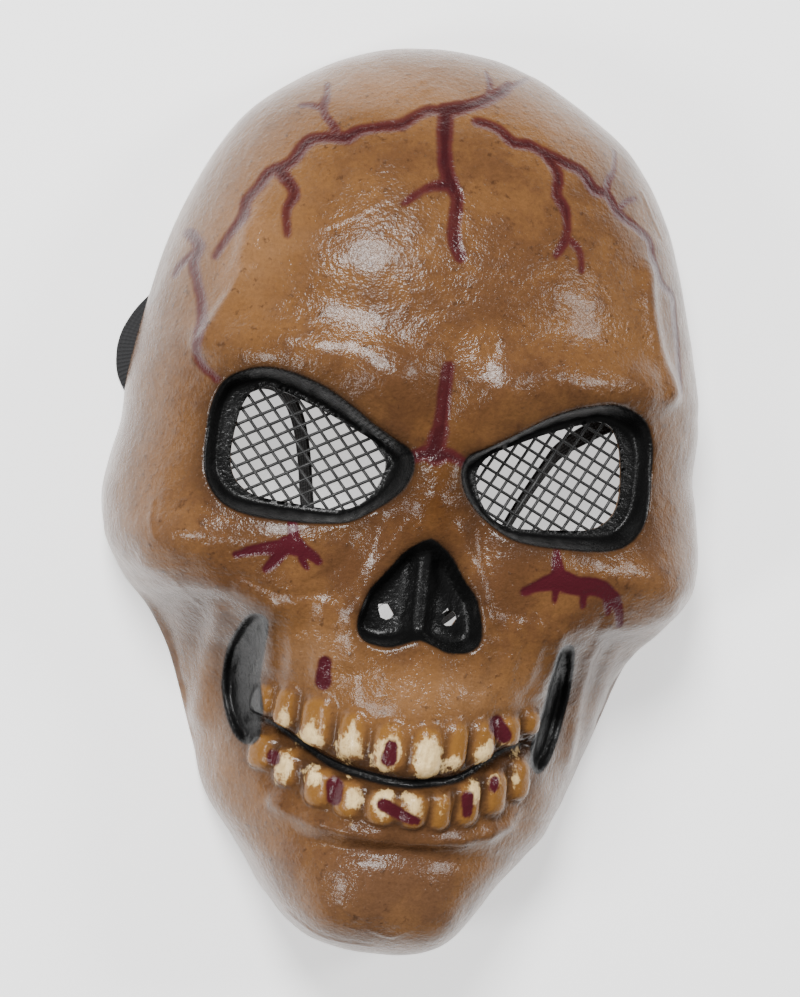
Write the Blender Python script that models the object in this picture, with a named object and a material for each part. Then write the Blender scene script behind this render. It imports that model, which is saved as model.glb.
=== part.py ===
"""Skull mask for a theatre or carnival costume, lying face up on its rim.

One thin shell of formed plastic carries the brow, eye sockets, nose, cheek slits and teeth. A flat net
is glued behind each eye hole, and a flat woven elastic runs from temple to temple behind the face.
+X is the wearer's left, +Y runs up to the crown, +Z points out of the face, and the rim rests on z = 0.
Every table holds shares: across of the half width, up of the height, and rise or depth of the depth.
"""

import math

import bpy
import numpy as np
from mathutils import Vector
from mathutils.geometry import delaunay_2d_cdt

# Driving sizes, in metres
MASK_HEIGHT = 0.271
MASK_WIDTH = 0.180
MASK_DEPTH = 0.080
WALL = 0.0014
RIM_LIFT = 0.009
EYE_SPACING = 0.0706
EYE_HOLE_WIDTH = 0.0442
SOCKET_DEPTH = 0.0135
SOCKET_WALL_RUN = 0.0048
NOSE_WIDTH = 0.0362
NOSE_DEPTH = 0.0095
NOSE_WALL_RUN = 0.0034
NOSTRIL_SPACING = 0.0182
NOSTRIL_RADIUS = 0.0024
SLIT_DEPTH = 0.0050
SLIT_WALL_RUN = 0.0032
MOUTH_GAP = 0.0030
MOUTH_DEPTH = 0.0036
TOOTH_RISE = 0.0026
TOOTH_FALL = 0.75
TOOTH_SQUARE = 2.6
NET_THICKNESS = 0.0008
NET_PITCH = 0.0047
NET_STRAND = 0.0012
NET_MARGIN = 0.0042
STRAP_WIDTH = 0.0060
STRAP_THICKNESS = 0.0010
FIT_GAP = 0.0003

# Numbers of the modelling mesh, not of the mask
GRID_ACROSS = 36
GRID_UP = 44
OUTLINE_STEPS = 10
RING_POWER = 0.9
POINT_GAP_SHARE = 0.014
SLOPE_STEP_SHARE = 0.004
NOSE_FOOT_SHARE = 0.9

HALF_WIDTH = MASK_WIDTH / 2

# Cross sections from chin to crown: up, middle, half width, depth at the middle, squareness of the section
SECTIONS = (
    (-0.4990, 0.030, 0.000, 0.915, 3.00),
    (-0.4935, 0.024, 0.148, 0.915, 3.00),
    (-0.4785, 0.014, 0.254, 0.915, 3.00),
    (-0.4520, 0.010, 0.338, 0.910, 2.80),
    (-0.4180, 0.012, 0.412, 0.900, 2.60),
    (-0.3810, 0.022, 0.504, 0.885, 2.15),
    (-0.3370, 0.033, 0.596, 0.905, 1.75),
    (-0.2810, 0.042, 0.670, 0.930, 1.55),
    (-0.2260, 0.041, 0.729, 0.925, 1.55),
    (-0.1890, 0.035, 0.771, 0.910, 1.70),
    (-0.1520, 0.022, 0.830, 0.900, 2.00),
    (-0.1230, 0.007, 0.898, 0.895, 2.45),
    (-0.0970, 0.003, 0.945, 0.890, 2.70),
    (-0.0670, 0.002, 0.983, 0.885, 2.80),
    (-0.0300, 0.000, 1.000, 0.885, 2.80),
    (0.0100, 0.000, 0.986, 0.890, 2.70),
    (0.0510, 0.000, 0.963, 0.905, 2.60),
    (0.0950, 0.002, 0.964, 0.940, 2.55),
    (0.1430, 0.004, 0.947, 0.970, 2.50),
    (0.1980, 0.004, 0.915, 0.985, 2.45),
    (0.2540, 0.003, 0.873, 0.995, 2.40),
    (0.3090, 0.004, 0.816, 1.000, 2.35),
    (0.3640, 0.003, 0.737, 1.000, 2.30),
    (0.4090, -0.003, 0.638, 1.000, 2.25),
    (0.4460, -0.012, 0.493, 0.995, 2.20),
    (0.4750, -0.014, 0.342, 0.990, 2.20),
    (0.4930, -0.012, 0.183, 0.985, 2.20),
    (0.4990, -0.008, 0.000, 0.985, 2.20),
)
CROWN_ROUNDNESS = 2.3
CHIN_ROUNDNESS = 5.0

# Soft rises and hollows, the same on both sides: across, up, half sizes across and up, rise
RISES = (
    (0.800, 0.170, 0.110, 0.100, -0.018),
    (0.330, 0.270, 0.330, 0.110, 0.012),
    (0.690, 0.140, 0.150, 0.026, 0.034),
    (0.430, 0.136, 0.190, 0.026, 0.028),
    (0.180, 0.118, 0.105, 0.030, 0.046),
    (0.330, 0.190, 0.280, 0.026, -0.014),
    (0.000, 0.105, 0.045, 0.060, -0.018),
    (0.000, -0.005, 0.085, 0.055, 0.050),
    (0.170, -0.035, 0.055, 0.050, -0.030),
    (0.800, -0.068, 0.150, 0.036, 0.060),
    (0.500, -0.062, 0.250, 0.024, 0.030),
    (0.690, -0.165, 0.130, 0.060, -0.040),
    (0.570, -0.215, 0.120, 0.070, -0.030),
    (0.310, -0.115, 0.100, 0.036, -0.020),
    (0.000, -0.440, 0.240, 0.044, 0.036),
    (0.170, -0.452, 0.080, 0.030, 0.020),
    (0.000, -0.376, 0.300, 0.012, -0.026),
    (0.520, -0.330, 0.100, 0.070, 0.022),
)

# Raised folds and edges, the same on both sides: half width, rise, then points as across, up
FOLDS = (
    (0.034, 0.020, ((0.640, 0.290), (0.660, 0.225), (0.735, 0.160), (0.780, 0.120))),
    (0.030, 0.008, ((0.230, -0.112), (0.215, -0.150), (0.205, -0.196))),
    (0.034, 0.012, ((0.315, -0.112), (0.310, -0.150), (0.285, -0.204))),
    (0.026, 0.009, ((0.390, -0.116), (0.390, -0.150), (0.365, -0.200))),
    (0.030, 0.012, ((0.455, -0.122), (0.460, -0.160), (0.430, -0.205))),
    (0.034, 0.020, ((0.620, -0.135), (0.635, -0.200), (0.600, -0.290))),
    (0.034, 0.012, ((0.720, -0.140), (0.725, -0.190), (0.690, -0.240))),
    (0.044, 0.012, ((0.600, -0.118), (0.740, -0.116), (0.880, -0.085))),
    (0.026, 0.020, ((0.400, -0.334), (0.250, -0.354), (0.000, -0.362))),
    (0.026, 0.014, ((0.070, -0.020), (0.150, -0.065), (0.225, -0.135))),
)

# Edge of the black eye socket and of the hole in it, as shares of the hole's width from its centre
SOCKET_EDGE = (
    (-0.645, 0.055), (-0.605, 0.150), (-0.480, 0.215), (-0.345, 0.295), (-0.165, 0.415),
    (0.015, 0.505), (0.200, 0.560), (0.335, 0.580), (0.470, 0.555), (0.595, 0.480),
    (0.662, 0.330), (0.678, 0.125), (0.673, -0.080), (0.628, -0.215), (0.535, -0.318),
    (0.400, -0.370), (0.200, -0.385), (-0.050, -0.385), (-0.255, -0.358), (-0.415, -0.272),
    (-0.550, -0.160), (-0.622, -0.058),
)
EYE_HOLE_EDGE = (
    (-0.500, 0.010), (-0.482, 0.098), (-0.415, 0.176), (-0.300, 0.236), (-0.120, 0.322),
    (0.062, 0.395), (0.197, 0.442), (0.300, 0.470), (0.390, 0.440), (0.458, 0.325),
    (0.491, 0.145), (0.498, -0.012), (0.470, -0.125), (0.400, -0.205), (0.290, -0.252),
    (0.062, -0.272), (-0.120, -0.284), (-0.255, -0.280), (-0.370, -0.228), (-0.455, -0.125),
)
EYE_UP_SHARE = 0.0235
SOCKET_LEAN_OUT = 0.17
SOCKET_LEAN_UP = 0.02

# Right half of the nose opening, as shares of its width from the middle of its foot
NOSE_EDGE = (
    (0.000, 0.805), (0.097, 0.755), (0.194, 0.672), (0.276, 0.562), (0.348, 0.465),
    (0.423, 0.368), (0.470, 0.243), (0.498, 0.120), (0.486, 0.022), (0.428, -0.047),
    (0.332, -0.075), (0.221, -0.075), (0.110, -0.034), (0.000, 0.000),
)
NOSE_FOOT_UP_SHARE = -0.1500
SEPTUM_WIDTH_SHARE = 0.085
SEPTUM_SHARE = 0.55
NOSTRIL_UP_SHARE = -0.1246

# Cheek slit, the same on both sides: across, up
SLIT_EDGE = (
    (0.468, -0.150), (0.498, -0.141), (0.535, -0.147), (0.562, -0.180), (0.563, -0.215),
    (0.545, -0.248), (0.512, -0.275), (0.470, -0.284), (0.436, -0.270), (0.440, -0.245),
    (0.458, -0.215), (0.462, -0.180),
)
# Gap between the rows of teeth: across, up
MOUTH_LINE = (
    (-0.455, -0.258), (-0.400, -0.264), (-0.320, -0.278), (-0.235, -0.290), (-0.150, -0.297),
    (-0.060, -0.301), (0.030, -0.302), (0.115, -0.298), (0.190, -0.292), (0.265, -0.278),
    (0.345, -0.262), (0.430, -0.254),
)
# Teeth from right to left of the wearer: across, half width, gum, tip
UPPER_TEETH = (
    (-0.440, 0.034, -0.214, -0.250), (-0.372, 0.034, -0.214, -0.260), (-0.278, 0.048, -0.218, -0.276),
    (-0.170, 0.042, -0.230, -0.283), (-0.058, 0.050, -0.236, -0.290), (0.056, 0.050, -0.236, -0.292),
    (0.152, 0.036, -0.229, -0.282), (0.240, 0.042, -0.226, -0.274), (0.330, 0.042, -0.220, -0.255),
    (0.412, 0.032, -0.214, -0.242),
)
LOWER_TEETH = (
    (-0.420, 0.034, -0.308, -0.268), (-0.348, 0.034, -0.322, -0.280), (-0.250, 0.044, -0.338, -0.294),
    (-0.162, 0.040, -0.345, -0.304), (-0.060, 0.048, -0.348, -0.310), (0.038, 0.042, -0.348, -0.308),
    (0.124, 0.036, -0.348, -0.306), (0.214, 0.042, -0.342, -0.294), (0.308, 0.040, -0.330, -0.280),
    (0.392, 0.034, -0.314, -0.266),
)

# Rings of mesh points on a tooth: share of its half sizes, and number of points
TOOTH_RINGS = ((1.06, 8), (0.66, 6), (0.0, 1))
# Rings of mesh points along a socket's edge: share of the wall's run inside it, and one point in how many
SOCKET_RINGS = ((0.9, 1), (0.45, 1), (-0.4, 1), (-1.2, 2))
SLIT_FOOT_SHARE = 0.7
SEPTUM_POINTS = 7

# Where the modelling grid is closer set, as a share of the height, its reach and how much closer
CLOSER_UP = ((-0.285, 0.085, 2.2), (0.030, 0.085, 0.9))
CLOSER_ACROSS = ((0.0, 0.500, 0.5),)

# Directions of the net's two strands in degrees, for the net on the +X side and on the -X side
NET_STRANDS = {"left": (-25.0, 58.0), "right": (27.0, -50.0)}

# Elastic from the -X temple to the +X one: across, as a share of the half width less half the strap, up,
# lift above the surface as a share of the strap's width, heading in degrees from +X, and how far it
# leans up from flat in degrees
STRAP_ROUTE = (
    (-0.878, 0.199, 1.35, 180.0, 0.0),
    (-0.890, 0.195, 0.60, 186.0, 2.0),
    (-0.918, 0.184, 0.08, 212.0, 6.0),
    (-0.958, 0.167, 0.00, 236.0, 8.0),
    (-0.990, 0.146, 0.00, 252.0, 10.0),
    (-1.000, 0.124, 0.00, 270.0, 10.0),
    (-0.985, 0.100, 0.00, 292.0, 10.0),
    (-0.925, 0.078, 0.00, 328.0, 18.0),
    (-0.815, 0.074, 0.00, 368.0, 34.0),
    (-0.680, 0.090, 0.00, 384.0, 50.0),
    (-0.560, 0.106, 0.00, 372.0, 58.0),
    (-0.470, 0.106, 0.00, 325.0, 60.0),
    (-0.415, 0.089, 0.00, 298.0, 60.0),
    (-0.377, 0.063, 0.00, 288.0, 60.0),
    (-0.348, 0.025, 0.00, 282.0, 60.0),
    (-0.320, -0.026, 0.00, 284.0, 60.0),
    (-0.275, -0.070, 0.00, 294.0, 62.0),
    (-0.180, -0.114, 0.00, 312.0, 64.0),
    (-0.022, -0.145, 0.00, 345.0, 66.0),
    (0.140, -0.144, 0.00, 378.0, 64.0),
    (0.258, -0.113, 0.00, 405.0, 62.0),
    (0.335, -0.062, 0.00, 422.0, 60.0),
    (0.398, -0.012, 0.00, 423.0, 58.0),
    (0.500, 0.048, 0.00, 417.0, 52.0),
    (0.556, 0.072, 0.00, 405.0, 40.0),
    (0.680, 0.100, 0.00, 388.0, 20.0),
    (0.800, 0.122, 0.00, 392.0, 8.0),
    (0.865, 0.155, 0.04, 404.0, 4.0),
    (0.888, 0.184, 0.30, 385.0, 3.0),
    (0.890, 0.196, 0.75, 366.0, 1.0),
    (0.878, 0.199, 1.35, 360.0, 0.0),
)
STRAP_END_LENGTH = 0.012
STRAP_END_STAND_OFF = 1.8
STRAP_ANCHOR_UP_SHARE = 0.200
STRAP_ANCHOR_HEIGHT = 0.014
RIM_LIFT_UP_SHARE = 0.140
RIM_LIFT_REACH_SHARE = 0.140


def clear_scene() -> None:
    """Remove every object that the file opened with."""
    for thing in list(bpy.data.objects):
        bpy.data.objects.remove(thing, do_unlink=True)


def plastic(name, colour, roughness):
    """A Principled material of one colour."""
    material = bpy.data.materials.new(name)
    material.use_nodes = True
    shader = material.node_tree.nodes["Principled BSDF"]
    shader.inputs["Base Color"].default_value = (*colour, 1.0)
    shader.inputs["Roughness"].default_value = roughness
    shader.inputs["Metallic"].default_value = 0.0
    return material


def through(points, closed, steps=OUTLINE_STEPS):
    """A smooth curve through the points, as an array with steps points a span."""
    points = np.asarray(points, float)
    count = len(points)
    spans = count if closed else count - 1
    share = np.arange(steps) / steps
    rows = []
    for i in range(spans):
        if closed:
            a, b, c, d = (points[(i + k) % count] for k in (-1, 0, 1, 2))
        else:
            a, b, c, d = (points[min(max(i + k, 0), count - 1)] for k in (-1, 0, 1, 2))
        t = share[:, None]
        rows.append(0.5 * (2 * b + (c - a) * t + (2 * a - 5 * b + 4 * c - d) * t**2
                           + (3 * b - a - 3 * c + d) * t**3))
    if not closed:
        rows.append(points[-1:])
    return np.concatenate(rows)


def placed(rows):
    """Table points of across and up shares, in metres."""
    return np.asarray(rows, float) * (HALF_WIDTH, MASK_HEIGHT)


def line_distance(x, y, line):
    """Distance of each place from a line of points, and how far along it the nearest point lies."""
    starts, ends = line[:-1], line[1:]
    best = np.full(np.shape(x), np.inf)
    along = np.zeros(np.shape(x))
    for i, (start, end) in enumerate(zip(starts, ends)):
        run = end - start
        share = ((x - start[0]) * run[0] + (y - start[1]) * run[1]) / max(run @ run, 1e-12)
        share = np.clip(share, 0, 1)
        away = np.hypot(x - start[0] - share * run[0], y - start[1] - share * run[1])
        nearer = away < best
        best = np.where(nearer, away, best)
        along = np.where(nearer, (i + share) / len(starts), along)
    return best, along


def depth_inside(x, y, edge):
    """Distance from a closed edge, above 0 inside it."""
    ring = np.vstack([edge, edge[:1]])
    away, _ = line_distance(x, y, ring)
    inside = np.zeros(np.shape(x), bool)
    for (ax, ay), (bx, by) in zip(ring[:-1], ring[1:]):
        if ay != by:
            inside ^= ((ay > y) != (by > y)) & (x < ax + (y - ay) * (bx - ax) / (by - ay))
    return np.where(inside, away, -away)


def eased(share):
    """A share from 0 to 1, eased at both ends."""
    share = np.clip(share, 0, 1)
    return share * share * (3 - 2 * share)


class Outline:
    """The rim and the cross sections, read from the table of sections."""

    def __init__(self):
        rows = np.asarray(SECTIONS)
        line = through(rows[:, [1, 2, 0]] * (HALF_WIDTH, HALF_WIDTH, MASK_HEIGHT), False, 60)
        self.up = np.maximum.accumulate(line[:, 2])
        self.middle, self.half_width = line[:, 0], np.maximum(line[:, 1], 0.0)
        left, right = self.middle + self.half_width, self.middle - self.half_width
        ring_x = np.concatenate([left, right[-2:0:-1]])
        ring_y = np.concatenate([self.up, self.up[-2:0:-1]])
        self.turn, self.reach = np.unwrap(np.arctan2(ring_y, ring_x)), np.hypot(ring_x, ring_y)
        self.rows_up = rows[:, 0] * MASK_HEIGHT
        self.depths, self.squareness = rows[:, 3] * MASK_DEPTH, rows[:, 4]

    def rim(self, turn):
        """Distance of the rim from the middle, in the direction turn."""
        return np.interp(turn, self.turn, self.reach, period=math.tau)

    def height(self, x, y):
        """Height of the plain shell, before any relief."""
        width = np.maximum(np.interp(y, self.up, self.half_width), 1e-6)
        power = np.interp(y, self.rows_up, self.squareness)
        side = np.clip(np.abs(x - np.interp(y, self.up, self.middle)) / width, 0, 1)
        roundness = np.where(y > 0, CROWN_ROUNDNESS, CHIN_ROUNDNESS)
        end = np.clip(y / np.where(y > 0, self.up[-1], self.up[0]), 0, 1)
        middle = np.interp(y, self.rows_up, self.depths) * (1 - end**roundness) ** (1 / roundness)
        return middle * (1 - side**power) ** (1 / power)


OUTLINE = Outline()


def tooth_relief(x, y):
    """Pillows of the teeth, and the gap between the two rows."""
    rise = np.zeros(np.shape(x))
    for across, half, gum, tip in UPPER_TEETH + LOWER_TEETH:
        middle = MASK_HEIGHT * (gum + tip) / 2
        tall = MASK_HEIGHT * abs(gum - tip) / 2
        wide = np.abs(x - across * HALF_WIDTH) / (half * HALF_WIDTH)
        high = np.abs(y - middle) / tall
        rise = np.maximum(rise, TOOTH_RISE * (1 - eased(TOOTH_FALL * (wide**TOOTH_SQUARE + high**4))))
    away, _ = line_distance(x, y, through(placed(MOUTH_LINE), False, 4))
    return rise - MOUTH_DEPTH * (1 - eased(away / MOUTH_GAP))


def soft_relief(x, y):
    """Rises, hollows and folds that both sides of the face share."""
    side = np.abs(x)
    rise = np.zeros(np.shape(x))
    for across, up, wide, tall, lift in RISES:
        share = ((side - across * HALF_WIDTH) / (wide * HALF_WIDTH)) ** 2
        share = share + ((y - up * MASK_HEIGHT) / (tall * MASK_HEIGHT)) ** 2
        rise = rise + lift * MASK_DEPTH * np.exp(-share)
    for half, lift, points in FOLDS:
        away, along = line_distance(side, y, through(placed(points), False, 4))
        fade = eased(5 * along) * eased(5 * (1 - along))
        rise = rise + lift * MASK_DEPTH * fade * np.exp(-((away / (half * HALF_WIDTH)) ** 2))
    return rise


def eye_places(edge):
    """An edge of the +X eye, from shares of the hole's width, in metres."""
    centre = (EYE_SPACING / 2, EYE_UP_SHARE * MASK_HEIGHT)
    return np.asarray(edge) * EYE_HOLE_WIDTH + centre


def nose_places():
    """The whole edge of the nose opening, in metres."""
    right = np.asarray(NOSE_EDGE) * NOSE_WIDTH
    left = right[-2:0:-1] * (-1, 1)
    return np.vstack([right, left]) + (0, NOSE_FOOT_UP_SHARE * MASK_HEIGHT)


SOCKET = through(eye_places(SOCKET_EDGE), True, 3)
EYE_HOLE = through(eye_places(EYE_HOLE_EDGE), True, 2)
NOSE = through(nose_places(), True, 3)
SLIT = through(placed(SLIT_EDGE), True, 3)


def grown(outline, margin):
    """The outline moved outward by the margin, one for all points or one each, whichever way it runs."""
    ahead = np.roll(outline, -1, axis=0) - np.roll(outline, 1, axis=0)
    normal = np.stack([ahead[:, 1], -ahead[:, 0]], axis=1)
    area = np.sum(outline[:, 0] * ahead[:, 1] - outline[:, 1] * ahead[:, 0])
    margin = np.sign(area) * np.reshape(margin, (-1, 1))
    return outline + margin * normal / np.linalg.norm(normal, axis=1, keepdims=True)


def nostril_ring():
    """The round edge of the +X nostril hole."""
    turns = np.arange(12) * math.tau / 12
    ring = np.stack([np.cos(turns), np.sin(turns)], axis=1) * NOSTRIL_RADIUS
    return ring + (NOSTRIL_SPACING / 2, NOSTRIL_UP_SHARE * MASK_HEIGHT)


NOSE_FOOT = grown(NOSE, -NOSE_WALL_RUN * NOSE_FOOT_SHARE)
NOSTRIL = nostril_ring()


def socket_floor(x, y):
    """Height of the flat flange round the eye holes."""
    centre_x, centre_y = EYE_SPACING / 2, EYE_UP_SHARE * MASK_HEIGHT
    middle = OUTLINE.height(centre_x, centre_y) - SOCKET_DEPTH
    return middle - SOCKET_LEAN_OUT * (np.abs(x) - centre_x) + SOCKET_LEAN_UP * (y - centre_y)


def nose_floor_share(x):
    """How deep the nose opening is across its width: the septum stands up in the middle."""
    ridge = np.exp(-((x / (SEPTUM_WIDTH_SHARE * NOSE_WIDTH)) ** 2))
    return 1 - SEPTUM_SHARE * ridge


def pressed(x, y, z):
    """The height after the sockets, the nose opening and the cheek slits are pressed in."""
    slit = depth_inside(np.abs(x), y, SLIT)
    z = z - SLIT_DEPTH * eased(slit / SLIT_WALL_RUN)
    nose = depth_inside(x, y, NOSE)
    z = z - NOSE_DEPTH * eased((nose + NOSE_WALL_RUN / 8) / NOSE_WALL_RUN) * nose_floor_share(x)
    socket = depth_inside(np.abs(x), y, SOCKET)
    hole = depth_inside(np.abs(x), y, EYE_HOLE)
    wall = np.minimum(SOCKET_WALL_RUN, np.maximum(socket - hole, 1e-4) * 0.8)
    share = eased((socket + wall / 10) / wall)
    return z + (np.minimum(socket_floor(x, y), z) - z) * share


def knots(count, closer, span):
    """Grid lines from -1 to 1, closer set where the table says."""
    fine = np.linspace(-1, 1, 2001)
    density = np.ones_like(fine)
    for place, reach, extra in closer:
        density += extra * np.exp(-(((fine - place * span) / (reach * span)) ** 2))
    total = np.concatenate([[0], np.cumsum((density[1:] + density[:-1]) / 2)])
    return np.interp(np.linspace(0, total[-1], count + 1), total, fine)


def rim_raise(y, z):
    """The rim is cut higher at the temples, where the elastic leaves."""
    middle, reach = RIM_LIFT_UP_SHARE * MASK_HEIGHT, RIM_LIFT_REACH_SHARE * MASK_HEIGHT
    share = np.clip(np.abs(y - middle) / reach, 0, 1)
    lift = RIM_LIFT * np.cos(share * math.pi / 2) ** 2
    fade = 1 - np.clip(z / (4 * RIM_LIFT), 0, 1)
    return z + lift * fade**2


def plain_normals(x, y):
    """Unit normals of the plain shell."""
    step = SLOPE_STEP_SHARE * HALF_WIDTH
    slope_x = (OUTLINE.height(x + step, y) - OUTLINE.height(x - step, y)) / (2 * step)
    slope_y = (OUTLINE.height(x, y + step) - OUTLINE.height(x, y - step)) / (2 * step)
    normal = np.stack([-slope_x, -slope_y, np.ones_like(slope_x)], axis=-1)
    return normal / np.linalg.norm(normal, axis=-1, keepdims=True)


def raised(x, y, edge):
    """Points of the finished face from places on the plain shell."""
    plain = np.stack([x, y, np.where(edge, 0.0, OUTLINE.height(x, y))], axis=-1)
    relief = (soft_relief(x, y) + tooth_relief(x, y)) * np.where(edge, 0, 1)
    moved = plain + plain_normals(x, y) * relief[..., None]
    z = pressed(moved[..., 0], moved[..., 1], moved[..., 2])
    side = np.abs(moved[..., 0]) > 0.5 * HALF_WIDTH
    moved[..., 2] = np.where(side, rim_raise(moved[..., 1], z), z)
    return moved


def before_relief(places):
    """The places on the plain shell that the relief carries to these places of the face."""
    x, y = places[:, 0], places[:, 1]
    for _ in range(4):
        lean = plain_normals(x, y)
        relief = soft_relief(x, y) + tooth_relief(x, y)
        x, y = places[:, 0] - lean[:, 0] * relief, places[:, 1] - lean[:, 1] * relief
    return np.stack([x, y], axis=1)


def spread_reach(turn):
    """Reach of the oval sheet that the mesh is laid out on, in the direction turn."""
    return 1 / np.hypot(np.cos(turn) / HALF_WIDTH, np.sin(turn) / (MASK_HEIGHT / 2))


def spread(places):
    """Places of the plain shell on the oval sheet, where its steep sides are spread out."""
    turn, away = np.arctan2(places[:, 1], places[:, 0]), np.hypot(places[:, 0], places[:, 1])
    share = np.clip(away / OUTLINE.rim(turn), 0, 1)
    reach = spread_reach(turn) * np.arcsin(share ** (1 / RING_POWER)) * 2 / math.pi
    return np.stack([reach * np.cos(turn), reach * np.sin(turn)], axis=1)


def unspread(sheet):
    """Places of the plain shell from the oval sheet, and whether each lies on the rim."""
    turn = np.arctan2(sheet[:, 1], sheet[:, 0])
    ring = np.hypot(sheet[:, 0], sheet[:, 1]) / spread_reach(turn)
    reach = OUTLINE.rim(turn) * np.sin(np.clip(ring, 0, 1) * math.pi / 2) ** RING_POWER
    return np.stack([reach * np.cos(turn), reach * np.sin(turn)], axis=1), ring > 1 - 1e-5


def feature_lines():
    """Lines of the face that edges of the mesh follow, and whether each is closed."""
    lines = [(NOSE, True), (NOSE_FOOT, True), (through(placed(MOUTH_LINE), False, 3), False)]
    for side in (1, -1):
        lines += [(edge * (side, 1), True) for edge in (SOCKET, EYE_HOLE, SLIT, NOSTRIL)]
    return lines


def oval(centre, half_sizes, count, square):
    """Points round a squared oval."""
    turns = (np.arange(count) + 0.5) * math.tau / count
    unit = np.stack([np.cos(turns), np.sin(turns)], axis=1)
    return np.asarray(centre) + np.sign(unit) * np.abs(unit) ** (2 / square) * half_sizes


def feature_points():
    """Loose points of the face that the mesh passes: walls and floors of what is pressed in, and teeth."""
    rows = []
    every = SOCKET[::2]
    run = np.minimum(SOCKET_WALL_RUN, -0.8 * depth_inside(every[:, 0], every[:, 1], EYE_HOLE))
    for side in (1, -1):
        rows += [grown(every, -share * run)[::step] * (side, 1) for share, step in SOCKET_RINGS]
        rows.append(grown(SLIT, -SLIT_FOOT_SHARE * SLIT_WALL_RUN)[::2] * (side, 1))
    low, high = NOSE_FOOT[:, 1].min(), NOSE_FOOT[:, 1].max()
    septum = low + (high - low) * np.linspace(0.12, 0.9, SEPTUM_POINTS)
    rows.append(np.stack([np.zeros(SEPTUM_POINTS), septum], axis=1))
    for across, half, gum, tip in UPPER_TEETH + LOWER_TEETH:
        centre = (across * HALF_WIDTH, (gum + tip) / 2 * MASK_HEIGHT)
        half_sizes = np.array((half * HALF_WIDTH, abs(gum - tip) / 2 * MASK_HEIGHT))
        for share, count in TOOTH_RINGS:
            rows.append(oval(centre, share * half_sizes, count, TOOTH_SQUARE))
    mouth = through(placed(MOUTH_LINE), False, 3)
    across = np.gradient(mouth, axis=0)[:, ::-1] * (-1, 1)
    across /= np.linalg.norm(across, axis=1, keepdims=True)
    rows += [mouth + share * MOUTH_GAP * across for share in (0.5, -0.5)]
    return np.vstack(rows)


def grid_points():
    """Points of an even grid on the oval sheet, its rim first."""
    p, q = np.meshgrid(knots(GRID_ACROSS, CLOSER_ACROSS, 1.0), knots(GRID_UP, CLOSER_UP, 2.0), indexing="ij")
    u, v = p * np.sqrt(1 - q * q / 2), q * np.sqrt(1 - p * p / 2)
    turn, ring = np.arctan2(v, u), np.clip(np.hypot(u, v), 0, 1)
    edge = (np.abs(p) == 1) | (np.abs(q) == 1)
    reach = spread_reach(turn) * np.where(edge, 1.0, ring)
    sheet = np.stack([reach * np.cos(turn), reach * np.sin(turn)], axis=2)
    return sheet[edge], sheet[~edge]


def laid_out():
    """Triangles of the face on the oval sheet: the sheet's points and the faces."""
    gap = POINT_GAP_SHARE * HALF_WIDTH
    rim, middle = grid_points()
    points, edges = list(rim), []
    for line, closed in feature_lines():
        start = len(points)
        points += list(spread(before_relief(line)))
        count = len(line)
        edges += [(start + i, start + (i + 1) % count) for i in range(count if closed else count - 1)]
    for loose, clear in ((spread(before_relief(feature_points())), gap), (middle, 1.5 * gap)):
        for point in loose:
            if np.min(np.hypot(*(np.asarray(points) - point).T)) > clear:
                points.append(point)
    found = delaunay_2d_cdt([Vector(p) for p in points], edges, [], 0, 1e-8)
    return np.array([tuple(p) for p in found[0]]), [tuple(face) for face in found[2]]


def outer_sheet():
    """The shell's face as points, triangles and whether each point is on the rim."""
    sheet, faces = laid_out()
    places, edge = unspread(sheet)
    points = raised(places[:, 0], places[:, 1], edge)
    kept = []
    for a, b, c in faces:
        (ax, ay), (bx, by) = sheet[b] - sheet[a], sheet[c] - sheet[a]
        turn = ax * by - ay * bx
        x, y = (points[a, :2] + points[b, :2] + points[c, :2]) / 3
        if max(depth_inside(abs(x), y, EYE_HOLE), depth_inside(abs(x), y, NOSTRIL)) < 0:
            kept.append((a, b, c) if turn > 0 else (a, c, b))
    return points, kept, edge


def make_object(name, vertices, faces, material):
    """A mesh object with one material, shaded smooth but for its sharp edges."""
    mesh = bpy.data.meshes.new(name)
    mesh.from_pydata([tuple(map(float, v)) for v in vertices], [], faces)
    mesh.validate()
    mesh.shade_smooth()
    mesh.set_sharp_from_angle(angle=math.radians(50))
    mesh.materials.append(material)
    thing = bpy.data.objects.new(name, mesh)
    bpy.context.scene.collection.objects.link(thing)
    return thing


def cut(thing, cutter):
    """Take the cutter's shape out of the object."""
    cutter.hide_render = True
    cutter.display_type = "WIRE"
    modifier = thing.modifiers.new(f"cut_{cutter.name}", "BOOLEAN")
    modifier.operation = "DIFFERENCE"
    modifier.solver = "EXACT"
    modifier.object = cutter


def prism(name, outlines, low, high, material):
    """Upright prisms, one for each outline given anticlockwise, between heights worked out by low and high."""
    vertices, faces = [], []
    for outline in outlines:
        start, count = len(vertices), len(outline)
        vertices += [(x, y, float(low(x, y))) for x, y in outline]
        vertices += [(x, y, float(high(x, y))) for x, y in outline]
        faces.append(tuple(start + i for i in reversed(range(count))))
        faces.append(tuple(start + count + i for i in range(count)))
        for i in range(count):
            j = (i + 1) % count
            faces.append((start + i, start + j, start + count + j, start + count + i))
    return make_object(name, vertices, faces, material)


def anticlockwise(outline):
    """The outline in the order that gives an upward face."""
    outline = np.asarray(outline)
    x, y = outline[:, 0], outline[:, 1]
    area = np.sum(x * np.roll(y, -1) - np.roll(x, -1) * y)
    return outline if area > 0 else outline[::-1]


def mirrored(outline, side):
    """The outline on the +X side for side 1, or on the -X side for side -1."""
    return anticlockwise(np.asarray(outline) * (side, 1))


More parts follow.
